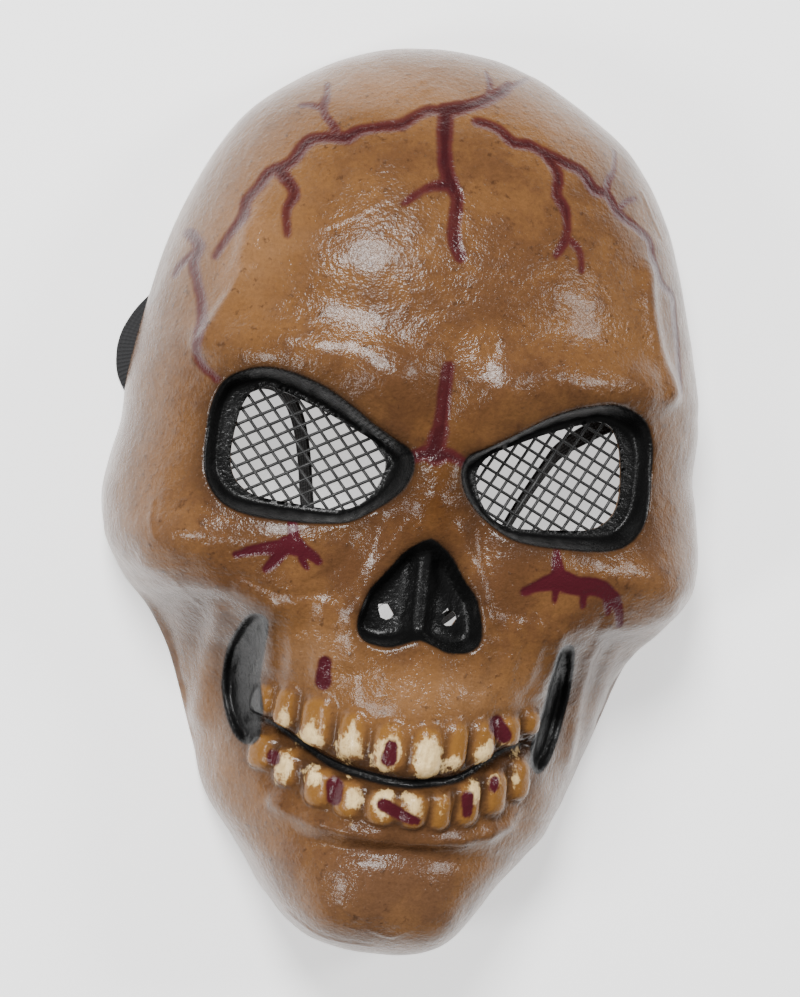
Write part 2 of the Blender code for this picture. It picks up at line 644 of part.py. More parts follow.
def make_shell():
    """The one-piece shell, open at the back, with its eye and nostril holes."""
    outer, kept, edge = outer_sheet()
    used = sorted({k for face in kept for k in face})
    number = {old: new for new, old in enumerate(used)}
    outer, edge = outer[used], edge[used]
    kept = [tuple(number[k] for k in face) for face in kept]
    sheet = bpy.data.meshes.new("face_sheet")
    sheet.from_pydata(outer.tolist(), [], kept)
    normal = np.array([vertex.normal for vertex in sheet.vertices])
    bpy.data.meshes.remove(sheet)
    normal[edge, 2] = 0
    normal /= np.maximum(np.linalg.norm(normal, axis=1, keepdims=True), 1e-9)
    inner = outer - normal * WALL
    inner[:, 2] = np.where(edge, outer[:, 2], np.maximum(inner[:, 2], outer[:, 2] / 8))
    behind = len(outer)
    faces = kept + [tuple(behind + k for k in reversed(face)) for face in kept]
    runs = {(face[k], face[(k + 1) % 3]) for face in kept for k in range(3)}
    for a, b in sorted(runs):
        if (b, a) not in runs:
            faces += [(b, a, behind + a), (b, behind + a, behind + b)]
    tan = plastic("stained_bone_plastic", (0.33, 0.17, 0.07), 0.25)
    return make_object("mask_shell", np.vstack([outer, inner]), faces, tan)


def net_gaps(hole, directions):
    """Diamond gaps between two sets of strands, kept where their middle lies inside the hole."""
    unit = [np.array((math.cos(math.radians(a)), math.sin(math.radians(a)))) for a in directions]
    slant = abs(unit[0][0] * unit[1][1] - unit[0][1] * unit[1][0])
    steps = [unit[0] * NET_PITCH / slant, unit[1] * NET_PITCH / slant]
    open_share = 1 - NET_STRAND / NET_PITCH
    centre = hole.mean(axis=0)
    reach = int(EYE_HOLE_WIDTH / NET_PITCH) + 2
    gaps = []
    for i in range(-reach, reach + 1):
        for j in range(-reach, reach + 1):
            middle = centre + i * steps[0] + j * steps[1]
            if depth_inside(middle[0], middle[1], hole) < NET_PITCH / 5:
                continue
            corners = [middle + open_share * (a * steps[0] + b * steps[1]) / 2
                       for a, b in ((-1, -1), (1, -1), (1, 1), (-1, 1))]
            gaps.append(anticlockwise(corners))
    return gaps


def make_net(side, name):
    """A flat net behind one eye hole, glued by its margin to the back of the socket's flange."""
    black = plastic(f"black_net_{name}", (0.01, 0.01, 0.012), 0.6)
    hole = mirrored(EYE_HOLE, side)
    slope = math.sqrt(1 + SOCKET_LEAN_OUT**2 + SOCKET_LEAN_UP**2)
    sheet = prism(f"eye_net_{name}", [grown(hole[::2], NET_MARGIN)],
                  lambda x, y: socket_floor(x, y) - (WALL + FIT_GAP + NET_THICKNESS) * slope,
                  lambda x, y: socket_floor(x, y) - (WALL + FIT_GAP) * slope, black)
    gaps = prism(f"net_gaps_{name}", net_gaps(hole, NET_STRANDS[name]),
                 lambda x, y: socket_floor(x, y) - 5 * WALL, lambda x, y: socket_floor(x, y) + WALL, black)
    cut(sheet, gaps)
    return sheet


def inner_wall(side, up, height):
    """Where the back of the side wall lies at a place up the face and a height above the rim."""
    line = np.linspace(0.70, 0.9999, 240)
    middle, half = (np.interp(up, OUTLINE.up, k) for k in (OUTLINE.middle, OUTLINE.half_width))
    x = side * middle + line * half
    y = np.full_like(x, up)
    z = rim_raise(y, OUTLINE.height(side * x, y))
    relief = soft_relief(x, y)
    fall = np.gradient(z, x)
    steep = np.sqrt(1 + fall**2)
    wall_x = x + (relief - WALL) * -fall / steep
    wall_z = z + (relief - WALL) / steep
    order = np.argsort(wall_z)
    return side * float(np.interp(height, wall_z[order], wall_x[order]))


def strap_rows():
    """The strap's route with its two ends laid against the side walls: places and width directions."""
    rows = []
    up = STRAP_ANCHOR_UP_SHARE * MASK_HEIGHT
    clear = STRAP_END_STAND_OFF * (FIT_GAP + STRAP_THICKNESS / 2)
    heights = [STRAP_ANCHOR_HEIGHT + STRAP_END_LENGTH * k / 3 for k in (3, 2, 1, 0)]

    def end(side):
        walls = [min(side * inner_wall(side, up + edge * STRAP_WIDTH / 2, h) for edge in (-1, 0, 1))
                 for h in heights]
        return [((side * (wall - clear), up, h), (0.0, -1.0, 0.0)) for wall, h in zip(walls, heights)]

    rows += end(-1)
    for across, upward, lift, heading, lean in STRAP_ROUTE:
        turn, tilt = math.radians(heading), math.radians(lean)
        wide = (-math.sin(turn) * math.cos(tilt), math.cos(turn) * math.cos(tilt), math.sin(tilt))
        resting = FIT_GAP + (STRAP_WIDTH * math.sin(tilt) + STRAP_THICKNESS * math.cos(tilt)) / 2
        place = (across * (HALF_WIDTH - STRAP_WIDTH / 2), upward * MASK_HEIGHT, resting + lift * STRAP_WIDTH)
        rows.append((place, wide))
    rows += [(place, (0.0, 1.0, 0.0)) for place, _ in reversed(end(1))]
    return rows


def make_strap():
    """Flat elastic swept along its route."""
    rows = strap_rows()
    places = through([place for place, _ in rows], False, 3)
    wides = through([wide for _, wide in rows], False, 3)
    ahead = np.gradient(places, axis=0)
    vertices = []
    for place, wide, run in zip(places, wides, ahead):
        run = Vector(run).normalized()
        wide = Vector(wide)
        wide = (wide - run * wide.dot(run)).normalized()
        thick = run.cross(wide)
        for a, b in ((-1, -1), (1, -1), (1, 1), (-1, 1)):
            vertices.append(Vector(place) + wide * a * STRAP_WIDTH / 2 + thick * b * STRAP_THICKNESS / 2)
    last = len(vertices) - 4
    faces = [(3, 2, 1, 0), tuple(last + k for k in range(4))]
    for k in range(0, last, 4):
        for a in range(4):
            b = (a + 1) % 4
            faces.append((k + a, k + b, k + 4 + b, k + 4 + a))
    black = plastic("black_elastic", (0.012, 0.012, 0.014), 0.7)
    return make_object("elastic_strap", vertices, faces, black)


def main():
    """Build the mask."""
    clear_scene()
    make_shell()
    for side, name in ((1, "left"), (-1, "right")):
        make_net(side, name)
    make_strap()


main()
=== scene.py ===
"""Skull mask, dressed for its picture: a glossy stained shell, netted eyes and a woven elastic.

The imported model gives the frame. The shell's face follows the same sections, rises, folds and pressed
edges as the model, on a grid fine enough for teeth, paint and cracks. Places are in metres, +X to the
wearer's left, +Y to the crown and +Z out of the face.
"""

import logging
import math
from collections.abc import Sequence
from dataclasses import dataclass, field
from enum import Enum

import bmesh
import bpy
import numpy as np
from mathutils import Matrix, Vector

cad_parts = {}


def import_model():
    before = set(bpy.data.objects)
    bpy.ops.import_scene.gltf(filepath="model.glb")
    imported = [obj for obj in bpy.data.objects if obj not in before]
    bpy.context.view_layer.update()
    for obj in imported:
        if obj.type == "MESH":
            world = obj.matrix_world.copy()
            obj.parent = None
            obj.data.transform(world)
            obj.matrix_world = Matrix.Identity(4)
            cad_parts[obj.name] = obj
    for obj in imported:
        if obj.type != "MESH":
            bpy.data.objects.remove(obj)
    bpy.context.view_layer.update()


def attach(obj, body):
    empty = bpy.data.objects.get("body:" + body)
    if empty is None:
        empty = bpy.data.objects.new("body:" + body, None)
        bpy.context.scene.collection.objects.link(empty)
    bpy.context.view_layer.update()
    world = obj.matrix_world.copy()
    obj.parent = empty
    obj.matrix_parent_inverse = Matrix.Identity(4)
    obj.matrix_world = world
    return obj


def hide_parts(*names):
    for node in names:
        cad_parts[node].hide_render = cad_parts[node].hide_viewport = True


LOG = logging.getLogger("skull_mask")
MILLIMETRE = 0.001
# What a paint's signed distance is where the paint is out of reach, in metres
FAR = -0.02
Points = Sequence[Sequence[float]]

# Cross sections from chin to crown: up, middle, half width, depth at the middle, squareness of the section
SECTIONS = (
    (-0.4990, 0.030, 0.000, 0.915, 3.00),
    (-0.4935, 0.024, 0.148, 0.915, 3.00),
    (-0.4785, 0.014, 0.254, 0.915, 3.00),
    (-0.4520, 0.010, 0.338, 0.910, 2.80),
    (-0.4180, 0.012, 0.412, 0.900, 2.60),
    (-0.3810, 0.022, 0.504, 0.885, 2.15),
    (-0.3370, 0.033, 0.596, 0.905, 1.75),
    (-0.2810, 0.042, 0.670, 0.930, 1.55),
    (-0.2260, 0.041, 0.729, 0.925, 1.55),
    (-0.1890, 0.035, 0.771, 0.910, 1.70),
    (-0.1520, 0.022, 0.830, 0.900, 2.00),
    (-0.1230, 0.007, 0.898, 0.895, 2.45),
    (-0.0970, 0.003, 0.945, 0.890, 2.70),
    (-0.0670, 0.002, 0.983, 0.885, 2.80),
    (-0.0300, 0.000, 1.000, 0.885, 2.80),
    (0.0100, 0.000, 0.986, 0.890, 2.70),
    (0.0510, 0.000, 0.963, 0.905, 2.60),
    (0.0950, 0.002, 0.964, 0.940, 2.55),
    (0.1430, 0.004, 0.947, 0.970, 2.50),
    (0.1980, 0.004, 0.915, 0.985, 2.45),
    (0.2540, 0.003, 0.873, 0.995, 2.40),
    (0.3090, 0.004, 0.816, 1.000, 2.35),
    (0.3640, 0.003, 0.737, 1.000, 2.30),
    (0.4090, -0.003, 0.638, 1.000, 2.25),
    (0.4460, -0.012, 0.493, 0.995, 2.20),
    (0.4750, -0.014, 0.342, 0.990, 2.20),
    (0.4930, -0.012, 0.183, 0.985, 2.20),
    (0.4990, -0.008, 0.000, 0.985, 2.20),
)

# Soft rises and hollows, the same on both sides: across, up, half sizes across and up, rise
RISES = (
    (0.800, 0.170, 0.110, 0.100, -0.018),
    (0.330, 0.270, 0.330, 0.110, 0.012),
    (0.690, 0.140, 0.150, 0.026, 0.034),
    (0.430, 0.136, 0.190, 0.026, 0.028),
    (0.180, 0.118, 0.105, 0.030, 0.046),
    (0.330, 0.190, 0.280, 0.026, -0.014),
    (0.000, 0.105, 0.045, 0.060, -0.018),
    (0.000, -0.005, 0.085, 0.055, 0.050),
    (0.170, -0.035, 0.055, 0.050, -0.030),
    (0.800, -0.068, 0.150, 0.036, 0.060),
    (0.500, -0.062, 0.250, 0.024, 0.030),
    (0.690, -0.165, 0.130, 0.060, -0.040),
    (0.570, -0.215, 0.120, 0.070, -0.030),
    (0.310, -0.115, 0.100, 0.036, -0.020),
    (0.000, -0.440, 0.240, 0.044, 0.036),
    (0.170, -0.452, 0.080, 0.030, 0.020),
    (0.000, -0.376, 0.300, 0.012, -0.026),
    (0.520, -0.330, 0.100, 0.070, 0.022),
)

# Raised folds and edges, the same on both sides: half width, rise, then points as across, up
FOLDS = (
    (0.034, 0.020, ((0.640, 0.290), (0.660, 0.225), (0.735, 0.160), (0.780, 0.120))),
    (0.030, 0.008, ((0.230, -0.112), (0.215, -0.150), (0.205, -0.196))),
    (0.034, 0.012, ((0.315, -0.112), (0.310, -0.150), (0.285, -0.204))),
    (0.026, 0.009, ((0.390, -0.116), (0.390, -0.150), (0.365, -0.200))),
    (0.030, 0.012, ((0.455, -0.122), (0.460, -0.160), (0.430, -0.205))),
    (0.034, 0.020, ((0.620, -0.135), (0.635, -0.200), (0.600, -0.290))),
    (0.034, 0.012, ((0.720, -0.140), (0.725, -0.190), (0.690, -0.240))),
    (0.044, 0.012, ((0.600, -0.118), (0.740, -0.116), (0.880, -0.085))),
    (0.026, 0.020, ((0.400, -0.334), (0.250, -0.354), (0.000, -0.362))),
    (0.026, 0.014, ((0.070, -0.020), (0.150, -0.065), (0.225, -0.135))),
)

# Edge of the black eye socket and of the hole in it, as shares of the hole's width from its centre
SOCKET_EDGE = (
    (-0.645, 0.055), (-0.605, 0.150), (-0.480, 0.215), (-0.345, 0.295), (-0.165, 0.415),
    (0.015, 0.505), (0.200, 0.560), (0.335, 0.580), (0.470, 0.555), (0.595, 0.480),
    (0.662, 0.330), (0.678, 0.125), (0.673, -0.080), (0.628, -0.215), (0.535, -0.318),
    (0.400, -0.370), (0.200, -0.385), (-0.050, -0.385), (-0.255, -0.358), (-0.415, -0.272),
    (-0.550, -0.160), (-0.622, -0.058),
)
EYE_HOLE_EDGE = (
    (-0.500, 0.010), (-0.482, 0.098), (-0.415, 0.176), (-0.300, 0.236), (-0.120, 0.322),
    (0.062, 0.395), (0.197, 0.442), (0.300, 0.470), (0.390, 0.440), (0.458, 0.325),
    (0.491, 0.145), (0.498, -0.012), (0.470, -0.125), (0.400, -0.205), (0.290, -0.252),
    (0.062, -0.272), (-0.120, -0.284), (-0.255, -0.280), (-0.370, -0.228), (-0.455, -0.125),
)
# Right half of the nose opening, as shares of its width from the middle of its foot
NOSE_EDGE = (
    (0.000, 0.805), (0.097, 0.755), (0.194, 0.672), (0.276, 0.562), (0.348, 0.465),
    (0.423, 0.368), (0.470, 0.243), (0.498, 0.120), (0.486, 0.022), (0.428, -0.047),
    (0.332, -0.075), (0.221, -0.075), (0.110, -0.034), (0.000, 0.000),
)
# Cheek slit, the same on both sides: across, up
SLIT_EDGE = (
    (0.468, -0.150), (0.498, -0.141), (0.535, -0.147), (0.562, -0.180), (0.563, -0.215),
    (0.545, -0.248), (0.512, -0.275), (0.470, -0.284), (0.436, -0.270), (0.440, -0.245),
    (0.458, -0.215), (0.462, -0.180),
)
# Gap between the rows of teeth: across, up
MOUTH_LINE = (
    (-0.455, -0.258), (-0.400, -0.264), (-0.320, -0.278), (-0.235, -0.290), (-0.150, -0.297),
    (-0.060, -0.301), (0.030, -0.302), (0.115, -0.298), (0.190, -0.292), (0.265, -0.278),
    (0.345, -0.262), (0.430, -0.254),
)
# Teeth from right to left of the wearer: across, half width, gum, tip
TEETH = (
    (-0.440, 0.034, -0.214, -0.250), (-0.372, 0.034, -0.214, -0.260), (-0.278, 0.048, -0.218, -0.276),
    (-0.170, 0.042, -0.230, -0.283), (-0.058, 0.050, -0.236, -0.290), (0.056, 0.050, -0.236, -0.292),
    (0.152, 0.036, -0.229, -0.282), (0.240, 0.042, -0.226, -0.274), (0.330, 0.042, -0.220, -0.255),
    (0.412, 0.032, -0.214, -0.242),
    (-0.420, 0.034, -0.308, -0.268), (-0.348, 0.034, -0.322, -0.280), (-0.250, 0.044, -0.338, -0.294),
    (-0.162, 0.040, -0.345, -0.304), (-0.060, 0.048, -0.348, -0.310), (0.038, 0.042, -0.348, -0.308),
    (0.124, 0.036, -0.348, -0.306), (0.214, 0.042, -0.342, -0.294), (0.308, 0.040, -0.330, -0.280),
    (0.392, 0.034, -0.314, -0.266),
)

# Painted cracks, in millimetres on the face: half width at the start and at the end, then across and up
CRACKS = (
    (2.1, 1.5, ((-5.5, 113), (-6, 104), (-5.4, 95.6), (-3.6, 91), (-1.8, 87), (-2.4, 80), (-1.8, 74),
                (0, 70))),
    (1.6, 0.4, ((-3.6, 91), (-10.8, 89), (-17, 83.5))),
    (2.1, 1.2, ((-6, 113), (0, 115), (6, 118), (12, 122), (14.4, 124.4))),
    (0.6, 0.3, ((12, 122), (17, 125.5), (21.6, 128.6))),
    (0.8, 0.3, ((6, 118), (8.5, 123), (7.8, 128))),
    (1.3, 1.5, ((-6, 113), (-10.8, 112.6), (-15.6, 109.4), (-19, 107), (-29, 104.8), (-33.6, 101.8))),
    (1.7, 0.8, ((-33.6, 101.8), (-42, 101), (-45.6, 98), (-48.6, 93), (-54, 90), (-57, 85.4), (-60, 81),
                (-60.6, 76.4), (-64, 70.4), (-67, 64))),
    (1.4, 0.5, ((-36, 101.4), (-37, 104.6), (-40, 109.4), (-39, 115), (-38.4, 119))),
    (0.9, 0.4, ((-40, 110), (-43, 111.5), (-46, 111.4))),
    (1.7, 0.8, ((-52, 91), (-48.6, 86.6), (-47.4, 83), (-49.2, 79), (-48.6, 71.6))),
    (1.3, 0.7, ((-73.8, 71), (-71.4, 66.8), (-72.6, 62), (-70.8, 55), (-69.4, 47.6), (-70.5, 38),
                (-68.5, 32.5), (-64, 28.5))),
    (0.9, 0.4, ((-71.5, 66), (-75.5, 61.5), (-77, 58))),
    (1.4, 1.5, ((3.6, 111), (9.6, 109.8), (14.4, 105.8), (19.2, 105.8), (24, 104), (31, 101.6))),
    (1.5, 0.8, ((31, 101.6), (36, 99.8), (39.6, 95), (43.8, 94.4), (47.4, 89.6), (54, 86), (58.8, 83),
                (60, 77.6), (63.6, 71), (68.4, 68), (69.6, 62), (71.4, 53.6), (72, 46.4), (72.5, 40))),
    (1.7, 0.9, ((24, 104), (28, 98), (27.6, 92), (30, 88.4), (31, 83.6), (30.6, 79), (28, 74))),
    (1.1, 0.5, ((31, 79.4), (34.8, 76.4), (36, 70.4))),
    (1.0, 0.4, ((43.8, 95), (44.4, 98.6), (46.8, 102.8), (48, 108.8))),
    (0.7, 0.3, ((47, 89), (50, 93), (54, 95))),
    (1.2, 2.0, ((-0.5, 39), (-0.8, 32), (-0.5, 25), (-0.8, 19))),
    (2.2, 3.0, ((-0.8, 21), (-1.5, 16), (-1.2, 13.5))),
    (2.2, 0.6, ((-1, 14.5), (-6, 13), (-10, 10.5), (-13, 7))),
    (2.0, 0.5, ((-1, 14.5), (3.5, 13.5), (7.5, 11.5), (10, 8))),
)

# Painted blood under the eyes and on the teeth, laid out as the cracks are
BLOOD = (
    (0.7, 1.6, ((-39.5, -9.5), (-39, -12), (-38.5, -15))),
    (2.4, 0.7, ((-37.5, -16.5), (-43, -17.2), (-49, -18.6), (-54, -20.5))),
    (2.1, 0.9, ((-40.5, -16), (-42.5, -20), (-45, -23.5))),
    (2.0, 0.7, ((-37.5, -16.5), (-34, -18), (-31, -20))),
    (1.2, 0.6, ((-36, -17), (-35.5, -20), (-34, -22))),
    (0.8, 1.7, ((37, -10.5), (37.3, -13), (38, -16))),
    (2.7, 1.0, ((38.5, -18.5), (33.5, -20.2), (29, -22.5))),
    (3.0, 2.0, ((38.5, -18.2), (44, -19.6), (50, -19.2), (54, -20.6))),
    (2.0, 0.8, ((54, -20.6), (58, -24), (60.2, -29.5))),
    (1.3, 0.6, ((38, -20), (38.2, -24.5))),
    (1.3, 0.6, ((46.5, -21), (47, -25.2))),
    (1.5, 0.6, ((54.5, -22), (55.5, -26.4))),
    (1.5, 1.8, ((-25.3, -48.5), (-25.2, -51), (-25, -54.2))),
    (1.6, 2.0, ((-5.3, -69.5), (-5.5, -73.5))),
    (2.4, 2.0, ((25.5, -61.5), (28.6, -64.5))),
    (1.3, 1.3, ((-35.5, -77.4), (-35.5, -78.6))),
    (2.1, 1.6, ((-19, -83), (-18.7, -87))),
    (1.6, 1.2, ((-5.5, -86.5), (0, -89), (4, -90.3))),
    (1.6, 1.3, ((18.8, -82.5), (19.4, -87))),
    (1.3, 1.2, ((27, -77.6), (27, -79.6))),
)

# Cream enamel left bare by the stain, in millimetres: across, up, half sizes across and up
CREAM = (
    (-26.3, -70, 2.6, 4.4), (-16.2, -71, 2.4, 4.8), (-5.6, -71, 3.4, 5.6), (5.4, -71.8, 3.9, 6.6),
    (13.4, -73.2, 1.8, 2.4), (22.6, -69.6, 2.0, 3.6), (-34.5, -66.6, 1.1, 2.2),
    (-32, -79.5, 1.7, 3.4), (-24.3, -81.5, 1.9, 2.6), (-13.6, -86, 1.9, 4.0), (-5.5, -86.2, 2.6, 3.4),
    (2.5, -86.5, 2.4, 3.6), (11.4, -84, 1.3, 2.2), (20, -81.3, 1.6, 2.6), (27.6, -77.8, 1.5, 2.2),
    (34, -74, 0.9, 2.6), (29, -65.5, 1.2, 1.4),
)

# Ridges where the lacquer stands proud and catches the light, laid out as the cracks are
LACQUER = (
    (0.45, 0.25, ((-13, 120), (-10, 122.5), (-9, 125.4), (-6.5, 126))),
    (0.40, 0.25, ((-12, 117.5), (-8.5, 119.5))),
    (0.70, 0.40, ((-21.6, 93.6), (-19.8, 94.6))),
    (0.60, 0.35, ((22, 82.6), (24, 84.6), (26.4, 84))),
    (0.50, 0.30, ((22.5, 80.4), (25.5, 80), (27, 81.4))),
    (0.35, 0.20, ((-41, 72), (-32, 76), (-22, 83))),
    (0.55, 0.30, ((-22.5, 35.6), (-19, 32.4), (-16.8, 28.8))),
    (0.45, 0.25, ((-19.5, 29), (-17.5, 26.8), (-14.5, 27))),
    (0.50, 0.30, ((9, 34.6), (11.8, 31.4), (14.2, 33.6), (17.6, 33))),
    (0.50, 0.25, ((17.5, 37), (22, 35.6), (24, 38.2), (29, 38), (31, 35.4))),
    (0.55, 0.30, ((35, 35.8), (41, 34.8), (46, 32.6), (50.5, 29.4))),
    (0.50, 0.30, ((47, 33.6), (52, 31.8), (54.6, 27))),
    (0.50, 0.25, ((57, 20.5), (60.5, 21.8), (63, 20.4))),
    (0.50, 0.30, ((-76.5, -9), (-75.4, -14), (-73, -18.4))),
    (0.45, 0.25, ((-69, -30), (-66, -36), (-62, -40))),
    (0.45, 0.25, ((48, -12), (52, -14.2))),
    (0.55, 0.25, ((-5, -1.6), (-1, 0.4), (3.4, -1.6))),
    (0.60, 0.30, ((-1, -40.6), (0.2, -43), (1.6, -41))),
    (0.45, 0.25, ((-13, -117), (-7, -119.6), (-2, -118.4), (3, -121.4))),
    (0.45, 0.25, ((-4, -123), (2, -125), (6.5, -122.4))),
    (0.40, 0.25, ((-25, -124), (-14, -128), (-2, -129.4))),
    (0.50, 0.25, ((-24, -94.4), (-20, -96))),
    (0.50, 0.25, ((57, 96), (60, 90), (64, 84))),
)

# Painted shade and, below 0, painted sheen, over the stain's own darker and lighter parts: across, up, half
# sizes in millimetres, then amount
SHADES = (
    (-10, 33, 12, 12, 0.45), (11, 30, 10, 10, 0.40), (-13, 2, 8, 12, 0.45), (14, -2, 8, 12, 0.40),
    (-19, -20, 10, 9, 0.45), (24, -24, 11, 10, 0.40), (-66, -36, 13, 10, 0.50), (55, -29, 14, 9, 0.35),
    (-44, -38, 12, 10, 0.25), (0, -108, 24, 12, 0.45), (36, 36, 20, 7, 0.35), (-36, 34, 18, 7, 0.20),
    (14, 78, 24, 24, 0.25), (0, 55, 28, 10, 0.20), (-57, 68, 18, 24, -0.25), (-22, 118, 30, 12, -0.30),
    (28, 112, 20, 14, -0.20), (9, -55, 20, 7, -0.25), (-32, -46, 13, 10, -0.30), (36, -50, 10, 10, -0.15),
    (-52, -78, 9, 20, -0.25), (0, -94, 24, 3, 0.30), (72, 0, 10, 20, 0.15),
)

# Creases and wrinkles pressed softly into the shell, laid out as the cracks are
CREASES = (
    (1.3, 0.8, ((-58, 64), (-62, 56), (-67, 47), (-69, 40))),
    (1.0, 0.6, ((-16, 44), (-11, 38), (-9, 30))),
    (0.9, 0.6, ((12, 45), (9.5, 38), (9, 30))),
    (0.9, 0.6, ((-52, -28), (-40, -32), (-30, -30))),
    (1.0, 0.7, ((-20, -12), (-25, -22), (-34, -28))),
    (0.9, 0.6, ((22, -13), (27, -23), (36, -30))),
    (0.9, 0.6, ((-28, -100), (-12, -103), (6, -101), (22, -99))),
)


def through(points: Points, closed: bool, steps: int) -> np.ndarray:
    """A smooth curve through the points.

    Args:
        points: The places that it passes.
        closed: Whether it runs on from the last to the first.
        steps: Points to a span.

    Returns:
        The curve's points, one row each.
    """
    knots = np.asarray(points, float)
    count = len(knots)
    t = (np.arange(steps) / steps)[:, None]
    rows = []
    for i in range(count if closed else count - 1):
        picks = [(i + k) % count if closed else min(max(i + k, 0), count - 1) for k in (-1, 0, 1, 2)]
        a, b, c, d = knots[picks]
        rows.append(0.5 * (2 * b + (c - a) * t + (2 * a - 5 * b + 4 * c - d) * t**2
                           + (3 * b - a - 3 * c + d) * t**3))
    if not closed:
        rows.append(knots[-1:])
    return np.concatenate(rows)


def eased(share: np.ndarray) -> np.ndarray:
    """A share from 0 to 1, eased at both ends."""
    share = np.clip(share, 0, 1)
    return share * share * (3 - 2 * share)


@dataclass(frozen=True)
class Feet:
    """Where each place's nearest point on a line lies."""

    away: np.ndarray
    along: np.ndarray
    x: np.ndarray
    y: np.ndarray


@dataclass(frozen=True)
class Line:
    """A line of points on the face, open or closed."""

    points: np.ndarray
    closed: bool = False

    def ring(self) -> np.ndarray:
        """The points, with the first again at the end of a closed line."""
        return np.vstack([self.points, self.points[:1]]) if self.closed else self.points

    def feet(self, x: np.ndarray, y: np.ndarray) -> Feet:
        """The nearest point on the line for each place.

        Args:
            x: Places across.
            y: Places up.

        Returns:
            Distances, shares along the line and the nearest points.
        """
        ring = self.ring()
        away = np.full(x.shape, np.inf)
        along, foot_x, foot_y = (np.zeros(x.shape) for _ in range(3))
        for i, (start, end) in enumerate(zip(ring[:-1], ring[1:])):
            run = end - start
            share = ((x - start[0]) * run[0] + (y - start[1]) * run[1]) / max(run @ run, 1e-12)
            share = np.clip(share, 0, 1)
            near_x, near_y = start[0] + share * run[0], start[1] + share * run[1]
            distance = np.hypot(x - near_x, y - near_y)
            nearer = distance < away
            away = np.where(nearer, distance, away)
            along = np.where(nearer, (i + share) / (len(ring) - 1), along)
            foot_x = np.where(nearer, near_x, foot_x)
            foot_y = np.where(nearer, near_y, foot_y)
        return Feet(away, along, foot_x, foot_y)

    def inside(self, x: np.ndarray, y: np.ndarray) -> np.ndarray:
        """Distance from a closed line, above 0 inside it.

        Args:
            x: Places across.
            y: Places up.

        Returns:
            Signed distances.
        """
        held = np.zeros(x.shape, bool)
        ring = self.ring()
        for (ax, ay), (bx, by) in zip(ring[:-1], ring[1:]):
            if ay != by:
                held ^= ((ay > y) != (by > y)) & (x < ax + (y - ay) * (bx - ax) / (by - ay))
        away = self.feet(x, y).away
        return np.where(held, away, -away)

    def grown(self, margin: float) -> "Line":
        """The closed line moved outward by the margin."""
        ahead = np.roll(self.points, -1, axis=0) - np.roll(self.points, 1, axis=0)
        normal = np.stack([ahead[:, 1], -ahead[:, 0]], axis=1)
        area = np.sum(self.points[:, 0] * ahead[:, 1] - self.points[:, 1] * ahead[:, 0])
        unit = normal / np.linalg.norm(normal, axis=1, keepdims=True)
        return Line(self.points + math.copysign(margin, area) * unit, True)

    def mirrored(self, side: int) -> "Line":
        """The line on the +X side for side 1, or on the -X side for side -1."""
        return Line(self.points * (side, 1), self.closed)


class Side(Enum):
    """The wearer's two sides, with the sign of X there."""

    LEFT = 1
    RIGHT = -1

    @property
    def word(self) -> str:
        """The side's name in the names of pieces."""
        return self.name.lower()


@dataclass(frozen=True)
class MaskSizes:
    """The mask's named sizes in metres, the same as in the model."""

    height: float = 0.271
    width: float = 0.180
    depth: float = 0.080
    wall: float = 0.0014
    rim_lift: float = 0.009
    rim_lift_up: float = 0.140
    rim_lift_reach: float = 0.140
    eye_spacing: float = 0.0706
    eye_hole_width: float = 0.0442
    eye_up: float = 0.0235
    socket_depth: float = 0.0135
    socket_wall_run: float = 0.0048
    socket_lean_out: float = 0.17
    socket_lean_up: float = 0.02
    nose_width: float = 0.0362
    nose_depth: float = 0.0095
    nose_wall_run: float = 0.0034
    nose_foot_up: float = -0.15
    septum_half_width: float = 0.085
    septum_share: float = 0.55
    nostril_spacing: float = 0.0182
    nostril_radius: float = 0.0024
    nostril_up: float = -0.1246
    slit_depth: float = 0.0050
    slit_wall_run: float = 0.0032
    mouth_gap: float = 0.0030
    mouth_depth: float = 0.0036
    tooth_rise: float = 0.0026
    tooth_fall: float = 0.75
    tooth_square: float = 2.6
    crown_roundness: float = 2.3
    chin_roundness: float = 5.0
    net_thickness: float = 0.0008
    net_margin: float = 0.0042
    strap_width: float = 0.0060
    strap_thickness: float = 0.0010
    fit_gap: float = 0.0003

    @property
    def half_width(self) -> float:
        """Half of the mask's width."""
        return self.width / 2

    def placed(self, rows: Points) -> np.ndarray:
        """Table points of across and up shares, in metres."""
        return np.asarray(rows, float) * (self.half_width, self.height)


